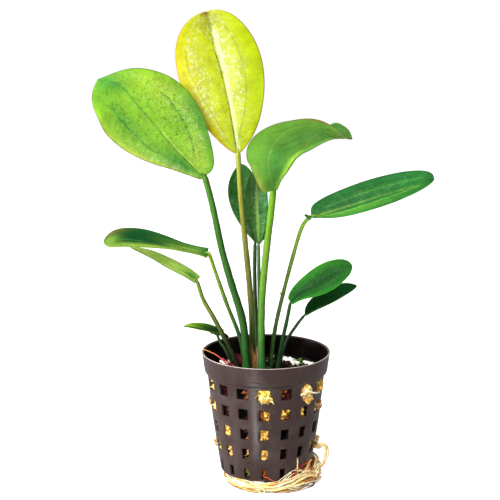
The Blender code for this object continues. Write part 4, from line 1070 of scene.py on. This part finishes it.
def make_blade(name, leaf, material):
    """A blade with a thin edge, sunk veins above, raised veins and a keel below.

    The upper side is the middle sheet raised along its own normal by the half thickness and the
    relief. The underside is the sheet lowered by the half thickness, the veins and a round keel
    that runs out towards the tip. Both sides share the vertices of the edge.
    """
    rows, columns = leaf["grid"]
    t = np.linspace(0.0, 1.0, rows + 1)
    s = np.linspace(-1.0, 1.0, columns + 1)
    along, across = np.meshgrid((1.0 - np.cos(math.pi * t)) / 2.0, np.sin(math.pi / 2.0 * s), indexing="ij")
    sheet = blade_points(leaf, along, across)
    by_row = np.gradient(sheet, axis=0)
    by_column = np.gradient(sheet, axis=1)
    by_column[0] = by_column[1]
    by_column[-1] = by_column[-2]
    normal = unit(np.cross(by_column, by_row))

    body = np.clip(along / BLADE_THINNING, 0.0, 1.0) * np.clip((1.0 - along) / BLADE_THINNING, 0.0, 1.0)
    body = (1.0 - np.abs(across) ** 10) * body
    distance = np.linalg.norm(sheet - sheet[:, columns // 2][:, None], axis=-1)
    ripple = leaf["ripple"] * wander(sheet, 16.0, 5) * np.abs(across) ** 1.5 * body
    sheet = sheet + ripple[..., None] * normal

    lengthwise = np.stack([along * 60.0, across * 9.0], axis=-1)
    slant = np.sin(2.0 * math.pi * (along * 26.0 + np.abs(across) * 3.2) + 1.2 * wander(lengthwise, 9.0, 8))
    blisters = leaf["blister"] * (0.25 * slant + 0.75 * wander(sheet, 2.2, 9))
    blisters = blisters * (1.0 - np.exp(-(distance / 1.4) ** 2))
    left = across < 0
    half_width = blade_opening(leaf, along, left) * np.where(left, *leaf["width"])
    veins = sum(line_shares(leaf["lines"], along, across, half_width))
    radius = leaf["stem_r"][0]
    keel_radius = radius * np.clip(1.0 - along, 0.0, 1.0) ** 0.9 + 0.05
    keel = np.sqrt(np.clip(keel_radius ** 2 - distance ** 2, 0.0, None))
    groove = 0.3 * keel_radius * np.exp(-(distance / (0.6 * radius)) ** 2)
    above = (BLADE_HALF_THICKNESS - 0.1 * veins + blisters - groove) * body
    below = (BLADE_HALF_THICKNESS + 0.08 * veins - blisters + keel) * body
    top = sheet + above[..., None] * normal
    bottom = sheet - below[..., None] * normal

    first = np.arange((rows + 1) * (columns + 1)).reshape(rows + 1, columns + 1)
    second = first + first.size
    second[0], second[-1] = first[0], first[-1]
    second[:, 0], second[:, -1] = first[:, 0], first[:, -1]
    quads = np.concatenate([grid_quads(first), grid_quads(second)[:, ::-1]])
    tint = np.stack([blade_tint(leaf, along, across, half_width, upper) for upper in (True, False)])
    marks = add_patches(np.zeros_like(top) + PLAIN_MARKS, leaf["marks"], along, across)
    marks = np.stack([marks, np.zeros_like(top) + UNDER_MARKS])
    uv = np.stack([across.ravel() / 2.0 + 0.5, along.ravel()], axis=-1)
    add_piece("blade_" + name, np.stack([top, bottom]), quads, NO_TRIANGLES, tint, material,
              ["leaf_" + name], np.concatenate([uv, uv]), marks)


def crown_top(x, y):
    """The height of the crown over a place: an ellipsoid's, or the wool's beside it."""
    share = ((x - CROWN_MID[0]) / CROWN_RADII[0]) ** 2 + ((y - CROWN_MID[1]) / CROWN_RADII[1]) ** 2
    return max(CROWN_MID[2] + CROWN_RADII[2] * math.sqrt(max(0.0, 1.0 - share)), WOOL_TOP_Z)


def make_stalk(name, leaf, material):
    """A stalk from inside the blade's keel down into the crown: a tube along a smooth curve.

    The radius runs from the top value to the foot value as a power of the length, is drawn in
    at the very top and widens into a sheath at the foot by a bell curve. One side is painted
    darker, as painted shade.
    """
    x, y = leaf["foot"]
    inside, _ = along_curve(leaf["midrib"], np.array((STEM_START, 0.0)))
    share = np.linspace(0.0, 1.0, STEM_RINGS)
    centres, _ = along_curve([*inside, *leaf["stem"], (x, y, crown_top(x, y) - 0.6)], share)
    length = np.linalg.norm(np.diff(centres, axis=0), axis=1).sum()
    down = share * length
    top, foot = leaf["stem_r"]
    radii = top + (foot - top) * share ** 0.8
    radii = radii * (1.0 + 0.35 * np.exp(-((length - down) / 5.0) ** 2))
    radii = radii * (0.35 + 0.65 * ease(0.0, 3.0, down)) * (1.0 + 0.03 * wander(centres, 6.0, 3))
    points, quads, triangles = tube_parts(centres[None], radii[None], STEM_SIDES)
    colours = read_at(share, np.linspace(0.0, 1.0, len(leaf["stem_tint"])), np.array(leaf["stem_tint"]))
    tint, middle, radius = (per_tube(values[None], STEM_RINGS, STEM_SIDES)
                            for values in (colours, centres, radii[:, None]))
    sideways = (points - middle)[:, 0] / radius[:, 0]
    # Painted shade: one side of the stalk is darker.
    dark = abs(leaf["shaded_side"]) * ease(-0.1, 0.8, sideways * math.copysign(1.0, leaf["shaded_side"]))
    add_piece("stalk_" + name, points, quads, triangles, tint * (1.0 - dark)[:, None], material,
              ["stem_" + name])


# Pot


def wall_radius(z):
    """The wall's outer radius at a height: straight from foot to middle and from middle to collar."""
    heights = (POT_FLOOR_Z, POT_WALL_MID_Z, POT_COLLAR_LOW_Z)
    return np.interp(z, heights, (POT_FOOT_R, POT_WALL_MID_R, POT_WALL_TOP_R))


def pot_profile():
    """The outer skin from the floor's hub to the rim, as arrays of radius, height and row: the row
    of windows that the band above each point crosses, or -1."""
    plain = -1
    profile = [(radius, POT_FLOOR_Z, plain) for radius in np.linspace(2.0, POT_FOOT_R - 0.9, 12)]
    profile += [(POT_FOOT_R - 0.3, POT_FLOOR_Z + 0.1, plain), (POT_FOOT_R + 0.05, POT_FLOOR_Z + 0.6, plain)]
    for row in reversed(range(len(HOLE_WIDTHS))):
        low = HOLE_ROW_Z - row * HOLE_ROW_PITCH - HOLE_HEIGHT / 2.0
        bands = [(low + HOLE_HEIGHT * step / 4.0, row if step < 4 else plain) for step in range(5)]
        if row:
            bar = HOLE_ROW_PITCH - HOLE_HEIGHT
            bands += [(low + HOLE_HEIGHT + bar * step / 4.0, plain) for step in (1, 2, 3)]
        profile += [(wall_radius(z), z, band) for z, band in bands]
    collar, radius = POT_COLLAR_LOW_Z, POT_COLLAR_LOW_R
    profile += [(wall_radius(collar - 0.9), collar - 0.9, plain), (POT_WALL_TOP_R + 0.1, collar - 0.2, plain),
                (POT_WALL_TOP_R + 0.5, collar + 0.05, plain), (radius - 0.15, collar + 0.15, plain),
                (radius, collar + 0.6, plain)]
    profile += [(radius + (POT_RIM_R - radius) * share - 0.05, collar + (POT_RIM_Z - collar) * share, plain)
                for share in (0.25, 0.5, 0.75)]
    profile += [(POT_RIM_R - 0.08, POT_RIM_Z - 0.7, plain), (POT_RIM_R, POT_RIM_Z - 0.25, plain),
                (POT_RIM_R - 0.1, POT_RIM_Z, plain)]
    return (np.array(values) for values in zip(*profile))


def make_pot(material, inner_shade_material, edge_highlight_material):
    """The pot's outer skin as a turned grid whose lines follow the windows' edges.

    Around each column the lines stand at shares of the window's half width, then at shares of
    the bar; the half width changes with height between the rows. The cells of the windows and of
    the floor's slots are left out. Solidify gives the wall, with its inside in a near-black
    material as painted shade, and Bevel rounds its edges in a lighter material as a painted
    highlight.
    """
    radii, heights, rows = pot_profile()
    row_heights = HOLE_ROW_Z - HOLE_ROW_PITCH * np.arange(len(HOLE_WIDTHS))[::-1]
    knots = np.add.outer(row_heights, (-HOLE_HEIGHT / 2.0, HOLE_HEIGHT / 2.0)).ravel()
    widths = np.repeat(HOLE_WIDTHS[::-1], 2)
    half = np.degrees(np.interp(heights, knots, widths) / 2.0 / np.maximum(radii, 12.0))[:, None]
    shares = np.linspace(0.0, 1.0, CELLS_ACROSS, endpoint=False)
    bars = HOLE_PITCH_DEG - 2.0 * half
    lines = np.concatenate([half * (2.0 * shares - 1.0), half + bars * shares], axis=1)
    columns = HOLE_FIRST_DEG + HOLE_PITCH_DEG * np.arange(HOLE_COLUMNS)
    angles = np.radians((columns[:, None] + lines[:, None, :]).reshape(len(heights), -1))
    around = angles.shape[1]
    places = upright(radii[:, None], angles, np.repeat(heights[:, None], around, axis=1)).reshape(-1, 3)

    index = np.arange(angles.size).reshape(angles.shape)
    quads = grid_quads(index, closed=True)
    cell_row = np.repeat(rows[:-1], around)
    cell_line = np.tile(np.arange(around) % (2 * CELLS_ACROSS), len(heights) - 1)
    window = (cell_row >= 0) & (cell_line < CELLS_ACROSS)
    x, y, z = places[quads].mean(axis=1).T
    turn, reach = np.arctan2(y, x), np.hypot(x, y)
    step = 2.0 * math.pi / SLOT_COUNT
    beside = reach * np.abs(np.sin(turn - np.round(turn / step) * step))
    slot = (z < POT_FLOOR_Z + 0.05) & (beside < SLOT_WIDTH / 2.0)
    slot = slot & (reach > SLOT_REACH[0]) & (reach < SLOT_REACH[1])
    hub = np.stack([np.full(around, angles.size), np.roll(index[0], -1), index[0]], axis=-1)
    points = np.concatenate([places, [[0.0, 0.0, POT_FLOOR_Z]]])
    pot = add_piece("net_pot_shell", points, quads[~(window | slot)], hub, None, material,
                    ["net_pot"])
    wall = pot.modifiers.new("wall", "SOLIDIFY")
    wall.thickness = POT_WALL * MM
    wall.offset = -1.0
    wall.use_even_offset = True
    pot.data.materials.append(inner_shade_material)
    wall.material_offset = 1
    edges = pot.modifiers.new("edges", "BEVEL")
    edges.width = POT_EDGE * MM
    edges.segments = 2
    edges.limit_method = "ANGLE"
    edges.angle_limit = math.radians(POT_EDGE_ANGLE)
    pot.data.materials.append(edge_highlight_material)
    edges.material = 2


# Rock wool


def window_fill(angle, z, lean):
    """The colour and the bulge in front of each place on the plug, how far it is inside a window
    and its letter's number, from the table of fills; columns behind take theirs from the front."""
    column = np.round((angle - HOLE_FIRST_DEG) / HOLE_PITCH_DEG)
    beside = angle - (HOLE_FIRST_DEG + column * HOLE_PITCH_DEG)
    row = np.clip(np.round((HOLE_ROW_Z - z) / HOLE_ROW_PITCH), 0, len(HOLE_WIDTHS) - 1).astype(int)
    level = z - (HOLE_ROW_Z - row * HOLE_ROW_PITCH)
    columns = len(WINDOW_FILL[0])
    seen = (column.astype(int) + columns // 2) % HOLE_COLUMNS
    seen = np.where(seen < columns, seen, (seen * 3 + row * 2) % columns)
    table = np.array([[[FILL_LETTERS.index(letter) for letter in pair] for pair in line]
                      for line in WINDOW_FILL])
    kind = table[row, seen, (beside + lean > 0).astype(int)]
    colours, bulge = (np.array([fills[letter] for letter in FILL_LETTERS])[kind]
                      for fills in (FILL_COLOURS, FILL_BULGE))
    sideways = np.abs(np.radians(beside)) * wall_radius(z) / (np.array(HOLE_WIDTHS)[row] / 2.0)
    upward = np.abs(level) / (HOLE_HEIGHT / 2.0)
    inside = (1.0 - ease(*FILL_EASE, sideways)) * (1.0 - ease(*FILL_EASE, upward))
    return colours, bulge, inside, kind


def make_wool(material):
    """The plug: a turned side that bulges into the windows or draws back behind them, and a
    lumpy top. Each place goes out by its window's bulge, with lumps of two sizes. Its side is
    painted darker in the hollows and behind the bars, as painted shade, and lighter on the crests,
    as painted light."""
    around, up, rings = WOOL_GRID
    low = POT_FLOOR_Z + WOOL_BASE_GAP
    turn = np.linspace(-math.pi, math.pi, around, endpoint=False)
    angle, height = np.meshgrid(turn, np.linspace(low, WOOL_TOP_Z, up))
    inner = wall_radius(height) - POT_WALL - WOOL_CLEARANCE
    flat = upright(inner, angle, height)
    colours, bulge, inside, _ = window_fill(np.degrees(angle), height, 3.0 * wander(flat, 2.4, 21))
    coarse, fine = wander(flat, 1.6, 22), wander(flat, 0.7, 23)
    grow = bulge * inside + (0.42 * coarse + 0.16 * fine) * (0.35 + 0.65 * inside)
    side = upright(inner + np.minimum(grow, 0.25 + 2.0 * inside) - 0.3, angle, height)
    # Painted shade in the hollows between lumps, and painted light on their crests.
    hollow_shade = colours * WOOL_HOLLOW_SHADE
    tint_side = hollow_shade + ease(-1.3, 0.7, coarse + 0.5 * fine)[..., None] * (1.12 * colours - hollow_shade)
    # Painted shade: the wool darkens towards the windows' edges and behind the bars.
    tint_side = tint_side * (0.12 + 0.88 * inside)[..., None]

    share = np.linspace(1.0, 0.0, rings + 1)[1:, None]
    x, y, _ = side[-1].T
    top = np.stack([x * share, y * share, np.full((rings, around), WOOL_TOP_Z)], axis=-1)
    top[..., 2] += ease(0.0, 0.25, 1.0 - share) * (SOIL_RISE + add_waves(top, SOIL_WAVES))
    soil = np.array(SOIL_DARK) * (1.0 + 0.5 * wander(top, 1.5, 34))[..., None]
    tint_top = soil + ease(0.9, 1.5, wander(top, 5.0, 35))[..., None] * (np.array(SOIL_PALE) - soil)

    bottom = np.stack([side[0, :, 0] * 0.02, side[0, :, 1] * 0.02, np.full(around, low)], axis=-1)
    points = np.concatenate([bottom[None], side, top])
    tint = np.concatenate([tint_side[:1], tint_side, tint_top])
    quads = grid_quads(np.arange(points[..., 0].size).reshape(-1, around), closed=True)
    add_piece("wool_plug_body", points, quads, NO_TRIANGLES, tint, material, ["wool_plug"])


def make_fuzz(material):
    """Short curled fibres that stand in the windows that hold wool, and half as many where it is
    orange: each leaves the plug at a random place, goes out and bends off to one side."""
    rng = np.random.default_rng(41)
    angle = rng.uniform(-180.0, 180.0, FUZZ_TRIES)
    row = rng.integers(0, len(HOLE_WIDTHS), FUZZ_TRIES)
    z = HOLE_ROW_Z - row * HOLE_ROW_PITCH + rng.uniform(-0.45, 0.45, FUZZ_TRIES) * HOLE_HEIGHT
    colours, bulge, inside, kind = window_fill(angle, z, np.zeros(FUZZ_TRIES))
    orange = FILL_LETTERS.index("O")
    keep = (inside > 0.55) & ((kind < orange) | ((kind == orange) & (rng.random(FUZZ_TRIES) < 0.5)))
    angle, z, colours, bulge = np.radians(angle[keep]), z[keep], colours[keep], bulge[keep]
    count = len(angle)
    outward = upright(1.0, angle, np.zeros(count))
    start = upright(wall_radius(z) - POT_WALL - 0.9 + 0.7 * bulge, angle, z)
    swing = rng.normal(size=(count, 3)) * np.array((1.0, 1.0, 0.9))
    swing -= (swing * outward).sum(-1, keepdims=True) * outward
    length = rng.uniform(*FUZZ_LENGTH, count) * (1.0 + 0.35 * (bulge > 1.0))
    t = np.linspace(0.0, 1.0, 7)[:, None]
    bend = outward[:, None] * (t * (1.0 - 0.45 * t)) + swing[:, None] * t ** 1.6 * 0.8
    radii = rng.uniform(*FUZZ_RADIUS, count)[:, None] * (1.0 - 0.7 * t[:, 0])
    tones = colours * rng.uniform(0.5, 1.3, count)[:, None]
    paths = start[:, None] + bend * length[:, None, None]
    add_tubes("wool_fuzz", paths, radii, 4, tones, material)


def tuft_feet(rng, tuft, count, reach):
    """Random feet in a tuft's window, the outward way, and each foot's slant, reach and tone."""
    outward = upright(1.0, math.radians(tuft["angle"]), 0.0)
    across = np.array(((-outward[1], outward[0], 0.0), (0.0, 0.0, 1.0)))
    start = outward * (wall_radius(tuft["z"]) - 0.9) + tuft["z"] * across[1]
    spread = rng.uniform(-1.0, 1.0, (count, 2)) * np.array(tuft["half"]) * reach
    out = rng.uniform(*TUFT_OUT, count)[:, None]
    palette = np.array(tuft["tones"])
    tone = palette[rng.integers(0, len(palette), count)] * rng.uniform(0.75, 1.12, count)[:, None]
    return start + spread @ across, outward, (spread * 0.9 + tuft["lean"]) @ across, out, tone


def make_tufts(material):
    """Ragged tufts that poke out of the windows: each a heap of balls pulled out of round by two
    waves of noise, with a few tapered spikes that fan out of it. The balls are painted darker and
    redder where drawn in, as painted shade."""
    rng = np.random.default_rng(45)
    share = np.linspace(0.0, 1.0, 12)[:, None]
    balls, spikes = [], []
    for tuft in TUFTS:
        foot, outward, fan, out, tone = tuft_feet(rng, tuft, tuft["balls"], BALL_SPREAD)
        size = tuft["swell"] * rng.uniform(0.7, 1.25, (len(foot), 1)) * rng.uniform(0.8, 1.2, foot.shape)
        balls.append((foot + out * outward + 0.4 * fan, size, tone))
        foot, outward, fan, out, tone = tuft_feet(rng, tuft, tuft["spikes"], SPIKE_SPREAD)
        line = foot[:, None] + share * (1.0 + out)[:, None] * outward + share ** 1.5 * fan[:, None]
        radii = rng.uniform(*SPIKE_RADIUS, len(foot))[:, None] * (1.0 - share[:, 0] ** 1.4) + SPIKE_TIP
        spikes.append((line, radii, tone))
    middles, sizes, tones = (np.concatenate(values) for values in zip(*balls))
    points, quads, triangles, torn = uneven_balls(middles, sizes, (10, 16), TUFT_WAVES, TUFT_LIMITS)
    # Painted shade: darker and redder where a ball is drawn in.
    lump_shading = np.clip(0.55 + 0.6 * (torn - 0.8), 0.3, 1.15)[..., None]
    tint = tones[:, None] * lump_shading ** (1.0, 1.4, 1.8)
    add_piece("wool_tufts", points, quads, triangles, tint, material)
    paths, radii, tips = (np.concatenate(values) for values in zip(*spikes))
    paths = paths + 0.15 * np.stack([wander(paths, 1.5, seed) for seed in (48, 49, 50)], axis=-1)
    add_tubes("wool_spikes", paths, radii, 8, tips, material)


# Roots


def make_root_mat(material):
    """The mat: strands that run round the pot's foot, each an arc whose radius and height
    wander, most of them in a ring under the wall and the rest inside it. Low strands are painted
    darker and redder, as painted shade."""
    rng = np.random.default_rng(51)
    count, rings, sides = MAT_OUTER + MAT_INNER, 44, 7
    start = rng.uniform(0.0, 2.0 * math.pi, count)
    span = rng.uniform(*MAT_TURN, count) * rng.choice([-1.0, 1.0], count)
    t = np.linspace(0.0, 1.0, rings)
    angle = start[:, None] + span[:, None] * t
    base = np.concatenate([rng.uniform(MAT_RING_R, MAT_RIM_R, MAT_OUTER),
                           rng.uniform(MAT_CORE_R, MAT_RING_R, MAT_INNER)])[:, None]
    drift = rng.normal(size=count)[:, None] * 1.6
    thick = (rng.choice(MAT_RADII, count) * rng.uniform(0.85, 1.15, count))[:, None]
    flat = np.zeros_like(angle)
    places = np.stack([angle * 6.0, base + flat, np.arange(count)[:, None] * 7.3 + flat], axis=-1)
    radius = base + drift * (t - 0.5) + 0.9 * wander(places, 6.0, 52) + 0.3 * wander(places, 2.5, 55)
    bound = MAT_BOUND_R + 1.2 * (1.0 + np.cos(angle)) + 0.3 * wander(places, 5.0, 56)
    radius = np.minimum(radius, bound)
    climb = 1.0 + 1.3 * ease(0.2, 0.95, np.cos(angle + 0.25))
    level = (rng.uniform(*MAT_LEVEL, count)[:, None] + 0.8 * wander(places, 5.0, 53)) * climb
    low = thick + 0.02
    high = MAT_TOP * climb - 0.3 * np.maximum(radius - MAT_SHOULDER_R, 0.0) ** 2
    level = np.clip(level, low, np.maximum(low, high))
    x, y = MAT_MID
    paths = np.stack([x + radius * np.cos(angle), y + radius * np.sin(angle), level], axis=-1)
    radii = thick * (1.0 - 0.5 * np.abs(2.0 * t - 1.0) ** 3) * (1.0 + 0.15 * wander(places, 3.0, 54))
    points, quads, triangles = tube_parts(paths, radii, sides)
    pick = rng.choice(len(MAT_TONES), count, p=MAT_SHARES)
    tint = per_tube(np.array(MAT_TONES)[pick] * rng.uniform(0.8, 1.12, count)[:, None], rings, sides)
    # Painted shade: strands darker and redder towards the floor.
    tint = tint * (0.45 + 0.55 * ease(0.0, 2.2, points[:, 2:])) ** (1.0, 1.5, 2.0)
    points[:, 2] = np.maximum(points[:, 2], 0.0)
    add_piece("root_mat_strands", points, quads, triangles, tint, material, ["root_mat"])


def make_root_loop(material):
    """A few roots that leave the wall together, swing out and come down on the mat: the loop's
    line, with each root set off from it by a slowly turning offset."""
    rng = np.random.default_rng(61)
    share = np.linspace(0.0, 1.0, 60)
    middle, _ = along_curve(ROOT_LOOP, share)
    offsets = rng.normal(size=(len(LOOP_RADII), 3)) * 0.45
    phase = rng.uniform(0.0, 2.0 * math.pi, len(LOOP_RADII))
    paths = middle + offsets[:, None] * np.cos(2.6 * share + phase[:, None])[..., None]
    radii = np.array(LOOP_RADII)[:, None] * (1.0 - 0.25 * share)
    add_tubes("root_loop_strands", paths, radii, 10, np.array(LOOP_TONES), material,
              ["root_loop"])


def make_surface_root(material):
    """The thin root over the rim: orange outside, crimson inside, forked near the crown."""
    along = np.linspace(0.0, 1.0, 70)
    picked = (along * (CURVE_SAMPLES - 1)).round().astype(int)
    main_root = curve_samples(SURFACE_ROOT)[picked]
    fork = main_root + ease(0.55, 1.0, picked / (CURVE_SAMPLES - 1))[:, None] * (1.6, 1.2, 0.9)
    paths = np.stack([main_root, fork])
    radii = np.stack([0.14 + 0.2 * along, 0.1 + 0.16 * along]) * (1.0 + 0.1 * wander(paths, 3.0, 71))
    tones = read_at(along, SURFACE_TONE_PLACES, np.array(SURFACE_TONES))
    add_tubes("surface_root_strand", paths, radii, 8, np.stack([tones, tones]), material,
              ["surface_root"])


def make_single_root(name, root, material):
    """One root or hair: a smooth path with a slight wander, thinner or thicker towards its end."""
    path, ends, tones, slot = root
    share = np.linspace(0.0, 1.0, 48)
    middle, _ = along_curve(path, share)
    radii = (ends[0] + (ends[1] - ends[0]) * share) * (1.0 + 0.12 * wander(middle, 2.0, 81))
    colours = read_at(share, (0.0, 1.0), np.array(tones))
    add_tubes(name, middle[None], radii[None], 8, colours[None], material)


# Crown, sheaths and crumbs


def make_crown(material):
    """The crown: a flattened ball that swells round the foot of each stalk, with small lumps."""
    points, quads, triangles = ball_parts(np.array([CROWN_MID]), np.array([CROWN_RADII]), 40, 120)
    points = points[0]
    swell = np.zeros(len(points))
    for leaf in LEAVES.values():
        gap = np.hypot(points[:, 0] - leaf["foot"][0], points[:, 1] - leaf["foot"][1])
        swell = np.maximum(swell, np.exp(-(gap / (1.0 + leaf["stem_r"][1])) ** 2))
    upper = np.clip((points[:, 2] - CROWN_MID[2]) / CROWN_RADII[2], 0.0, 1.0)
    points[:, 2] += upper * (CROWN_SWELL * swell + add_waves(points, CROWN_WAVES))
    tint = read_at(swell, (0.0, 1.0), np.array(CROWN_TONES))
    tint = tint * (1.0 + 0.3 * wander(points, 1.6, 93))[:, None]
    add_piece("crown_mound", points, quads, triangles, tint, material, ["crown"])


def make_strip(name, key, material, nodes):
    """A thin strip wrapped part of the way round its path and torn at the loose end: each point
    is the path's, set off sideways and back along an arc of the strip's width."""
    strip = STRIPS[key]
    rows, columns = 60, 18
    share, across = np.meshgrid(np.linspace(0.0, 1.0, rows), np.linspace(-1.0, 1.0, columns), indexing="ij")
    torn = 0.14 * (1.0 + wander(np.stack([across * 3.0, np.full_like(across, 2.0)], axis=-1), 1.5, 95))
    along = np.clip(torn, 0.0, 0.5) * (1.0 - share) + share
    centre, ahead = along_curve(strip["path"], along)
    side = unit(np.cross(ahead, (0.0, -1.0, 0.0)))
    back = np.cross(ahead, side)
    low, high = strip["width"]
    turn = math.radians(strip["wrap"])
    radius = (low + (high - low) * along) / 2.0 / math.sin(turn)
    radius = radius * (1.0 + 0.1 * wander(np.stack([along * 12.0, across], axis=-1), 2.5, 96))
    points = (centre + (radius * np.sin(turn * across))[..., None] * side
              + (radius * (np.cos(turn * across) - 1.0))[..., None] * back)
    blotches = 1.0 + 0.35 * wander(np.stack([along * 4.0, across * 4.0], axis=-1), 1.2, 97)
    tint = read_at(along, (0.0, 1.0), np.array(strip["tones"])) * blotches[..., None]
    quads = grid_quads(np.arange(rows * columns).reshape(rows, columns))
    made = add_piece(name, points, quads, NO_TRIANGLES, tint, material, nodes)
    wall = made.modifiers.new("thickness", "SOLIDIFY")
    wall.thickness = STRIP_THICKNESS * MM
    wall.offset = 0.0


def make_lumps(material):
    """Lumps of root, wool and moss in the mouth: stretched balls, each uneven in its own way."""
    places, sizes, tones = (np.array(values) for values in zip(*LUMPS))
    points, quads, triangles, _ = uneven_balls(places, sizes, (14, 22), LUMP_WAVES)
    tint = tones[:, None] * (1.0 + 0.14 * wander(points, 0.9, 103))[..., None]
    add_piece("mouth_lumps", points, quads, triangles, tint, material)


def make_crumbs(material):
    """Crumbs of bark and soil strewn over the plug's top: many small uneven balls."""
    rng = np.random.default_rng(111)
    reach = CRUMB_REACH * np.sqrt(rng.uniform(0.02, 1.0, CRUMB_COUNT))
    turn = rng.uniform(0.0, 2.0 * math.pi, CRUMB_COUNT)
    level = rng.uniform(*CRUMB_LEVEL, CRUMB_COUNT)
    places = np.stack([reach * np.cos(turn), reach * np.sin(turn), level], axis=-1)
    sizes = rng.uniform(*CRUMB_RADIUS, CRUMB_COUNT)[:, None] * rng.uniform(0.6, 1.2, (CRUMB_COUNT, 3))
    points, quads, triangles, _ = uneven_balls(places, sizes, (4, 7), CRUMB_WAVES)
    pick = rng.choice(len(CRUMB_TONES), CRUMB_COUNT, p=CRUMB_SHARES)
    tones = np.array(CRUMB_TONES)[pick] * rng.uniform(0.7, 1.3, CRUMB_COUNT)[:, None]
    tint = np.repeat(tones[:, None], points.shape[1], axis=1)
    add_piece("mouth_crumbs", points, quads, triangles, tint, material)


# Stage


def point_at(obj, place, aim):
    """A lamp or camera added to the scene at a place, looking at the aim."""
    bpy.context.scene.collection.objects.link(obj)
    obj.location = Vector(place) * MM
    obj.rotation_euler = (Vector(aim) - Vector(place)).to_track_quat("-Z", "Y").to_euler()


def make_stage():
    """A plain pale floor, a white surround, soft lamps and the photograph's camera."""
    scene = bpy.context.scene
    mesh = bpy.data.meshes.new("floor")
    reach = FLOOR_REACH * MM
    corners = [(-reach, -reach, 0.0), (reach, -reach, 0.0), (reach, reach, 0.0), (-reach, reach, 0.0)]
    mesh.from_pydata(corners, [], [(0, 1, 2, 3)])
    floor = bpy.data.objects.new("floor", mesh)
    scene.collection.objects.link(floor)
    material, tree, shader = start_material(
        "floor_white", {"Roughness": 0.9, "Specular IOR Level": 0.0, "Emission Color": (1.0, 1.0, 1.0, 1.0)})
    seen = node(tree, "ShaderNodeLightPath").outputs["Is Camera Ray"]
    tree.links.new(remap(tree, seen, 0.0, 1.0, FLOOR_BOUNCE, FLOOR_SEEN), shader.inputs["Base Color"])
    tree.links.new(remap(tree, seen, 0.0, 1.0, 0.0, FLOOR_GLOW), shader.inputs["Emission Strength"])
    mesh.materials.append(material)

    world = bpy.data.worlds.new("surround")
    scene.world = world
    world.use_nodes = True
    tree = world.node_tree
    back = tree.nodes["Background"]
    back.inputs["Color"].default_value = (1.0, 1.0, 1.0, 1.0)
    ways = node(tree, "ShaderNodeTexCoord").outputs["Generated"]
    toward = node(tree, "ShaderNodeSeparateXYZ", {0: ways}).outputs["Y"]
    around = remap(tree, toward, -1.0, 1.0, AMBIENT_FRONT, AMBIENT_BACK)
    seen = node(tree, "ShaderNodeLightPath").outputs["Is Camera Ray"]
    tree.links.new(math_node(tree, "MAXIMUM", around, seen), back.inputs["Strength"])

    for name, lamp in LAMPS.items():
        data = bpy.data.lights.new(name, "AREA")
        data.shape = "RECTANGLE"
        data.size, data.size_y = (value * MM for value in lamp["size"])
        data.energy = lamp["power"]
        obj = bpy.data.objects.new(name, data)
        point_at(obj, lamp["place"], lamp["aim"])
        obj.visible_diffuse = not lamp.get("gloss_only", False)
        obj.visible_glossy = not lamp.get("matt_only", False)

    data = bpy.data.cameras.new("camera")
    data.lens = CAMERA_LENS
    data.sensor_width = CAMERA_SENSOR
    data.clip_end = CAMERA_REACH * MM
    camera = bpy.data.objects.new("camera", data)
    point_at(camera, CAMERA_PLACE, CAMERA_AIM)
    scene.camera = camera
    scene.view_settings.view_transform = "Standard"


def main():
    """The whole scene: stage, leaves, pot, wool, roots, crown, sheaths, lumps and crumbs."""
    make_stage()
    skin, fibre, plastic = leaf_skin_group(), fibre_group(), plastic_group()
    for name, own in LEAVES.items():
        leaf = {**PLAIN_LEAF, **own}
        make_blade(name, leaf, leaf_material("skin_" + name, skin, leaf))
        make_stalk(name, leaf, stem_material("stalk_" + name))
    make_pot(*(pot_material(name, plastic, *looks) for name, looks in POT_LOOKS.items()))
    wool, fluff, strands, red, crown_skin, crumb = (
        fibre_material(name, fibre, *looks) for name, looks in FIBRE_LOOKS.items())
    make_wool(wool)
    make_fuzz(fluff)
    make_tufts(fluff)
    make_root_mat(strands)
    make_root_loop(strands)
    make_surface_root(red)
    for name, root in SINGLE_ROOTS.items():
        make_single_root(name, root, strands)
    make_crown(crown_skin)
    dry, ear_skin = stem_material("dry_sheath"), stem_material("ear_skin")
    make_strip("strip_split", "sheath_split", dry, ["sheath_split"])
    make_strip("strip_broken", "sheath_broken", dry, ["sheath_broken"])
    make_strip("blade_ear", "blade_ear", ear_skin, [])
    make_strip("small_base", "small_base", ear_skin, [])
    make_lumps(crumb)
    make_crumbs(crumb)


main()
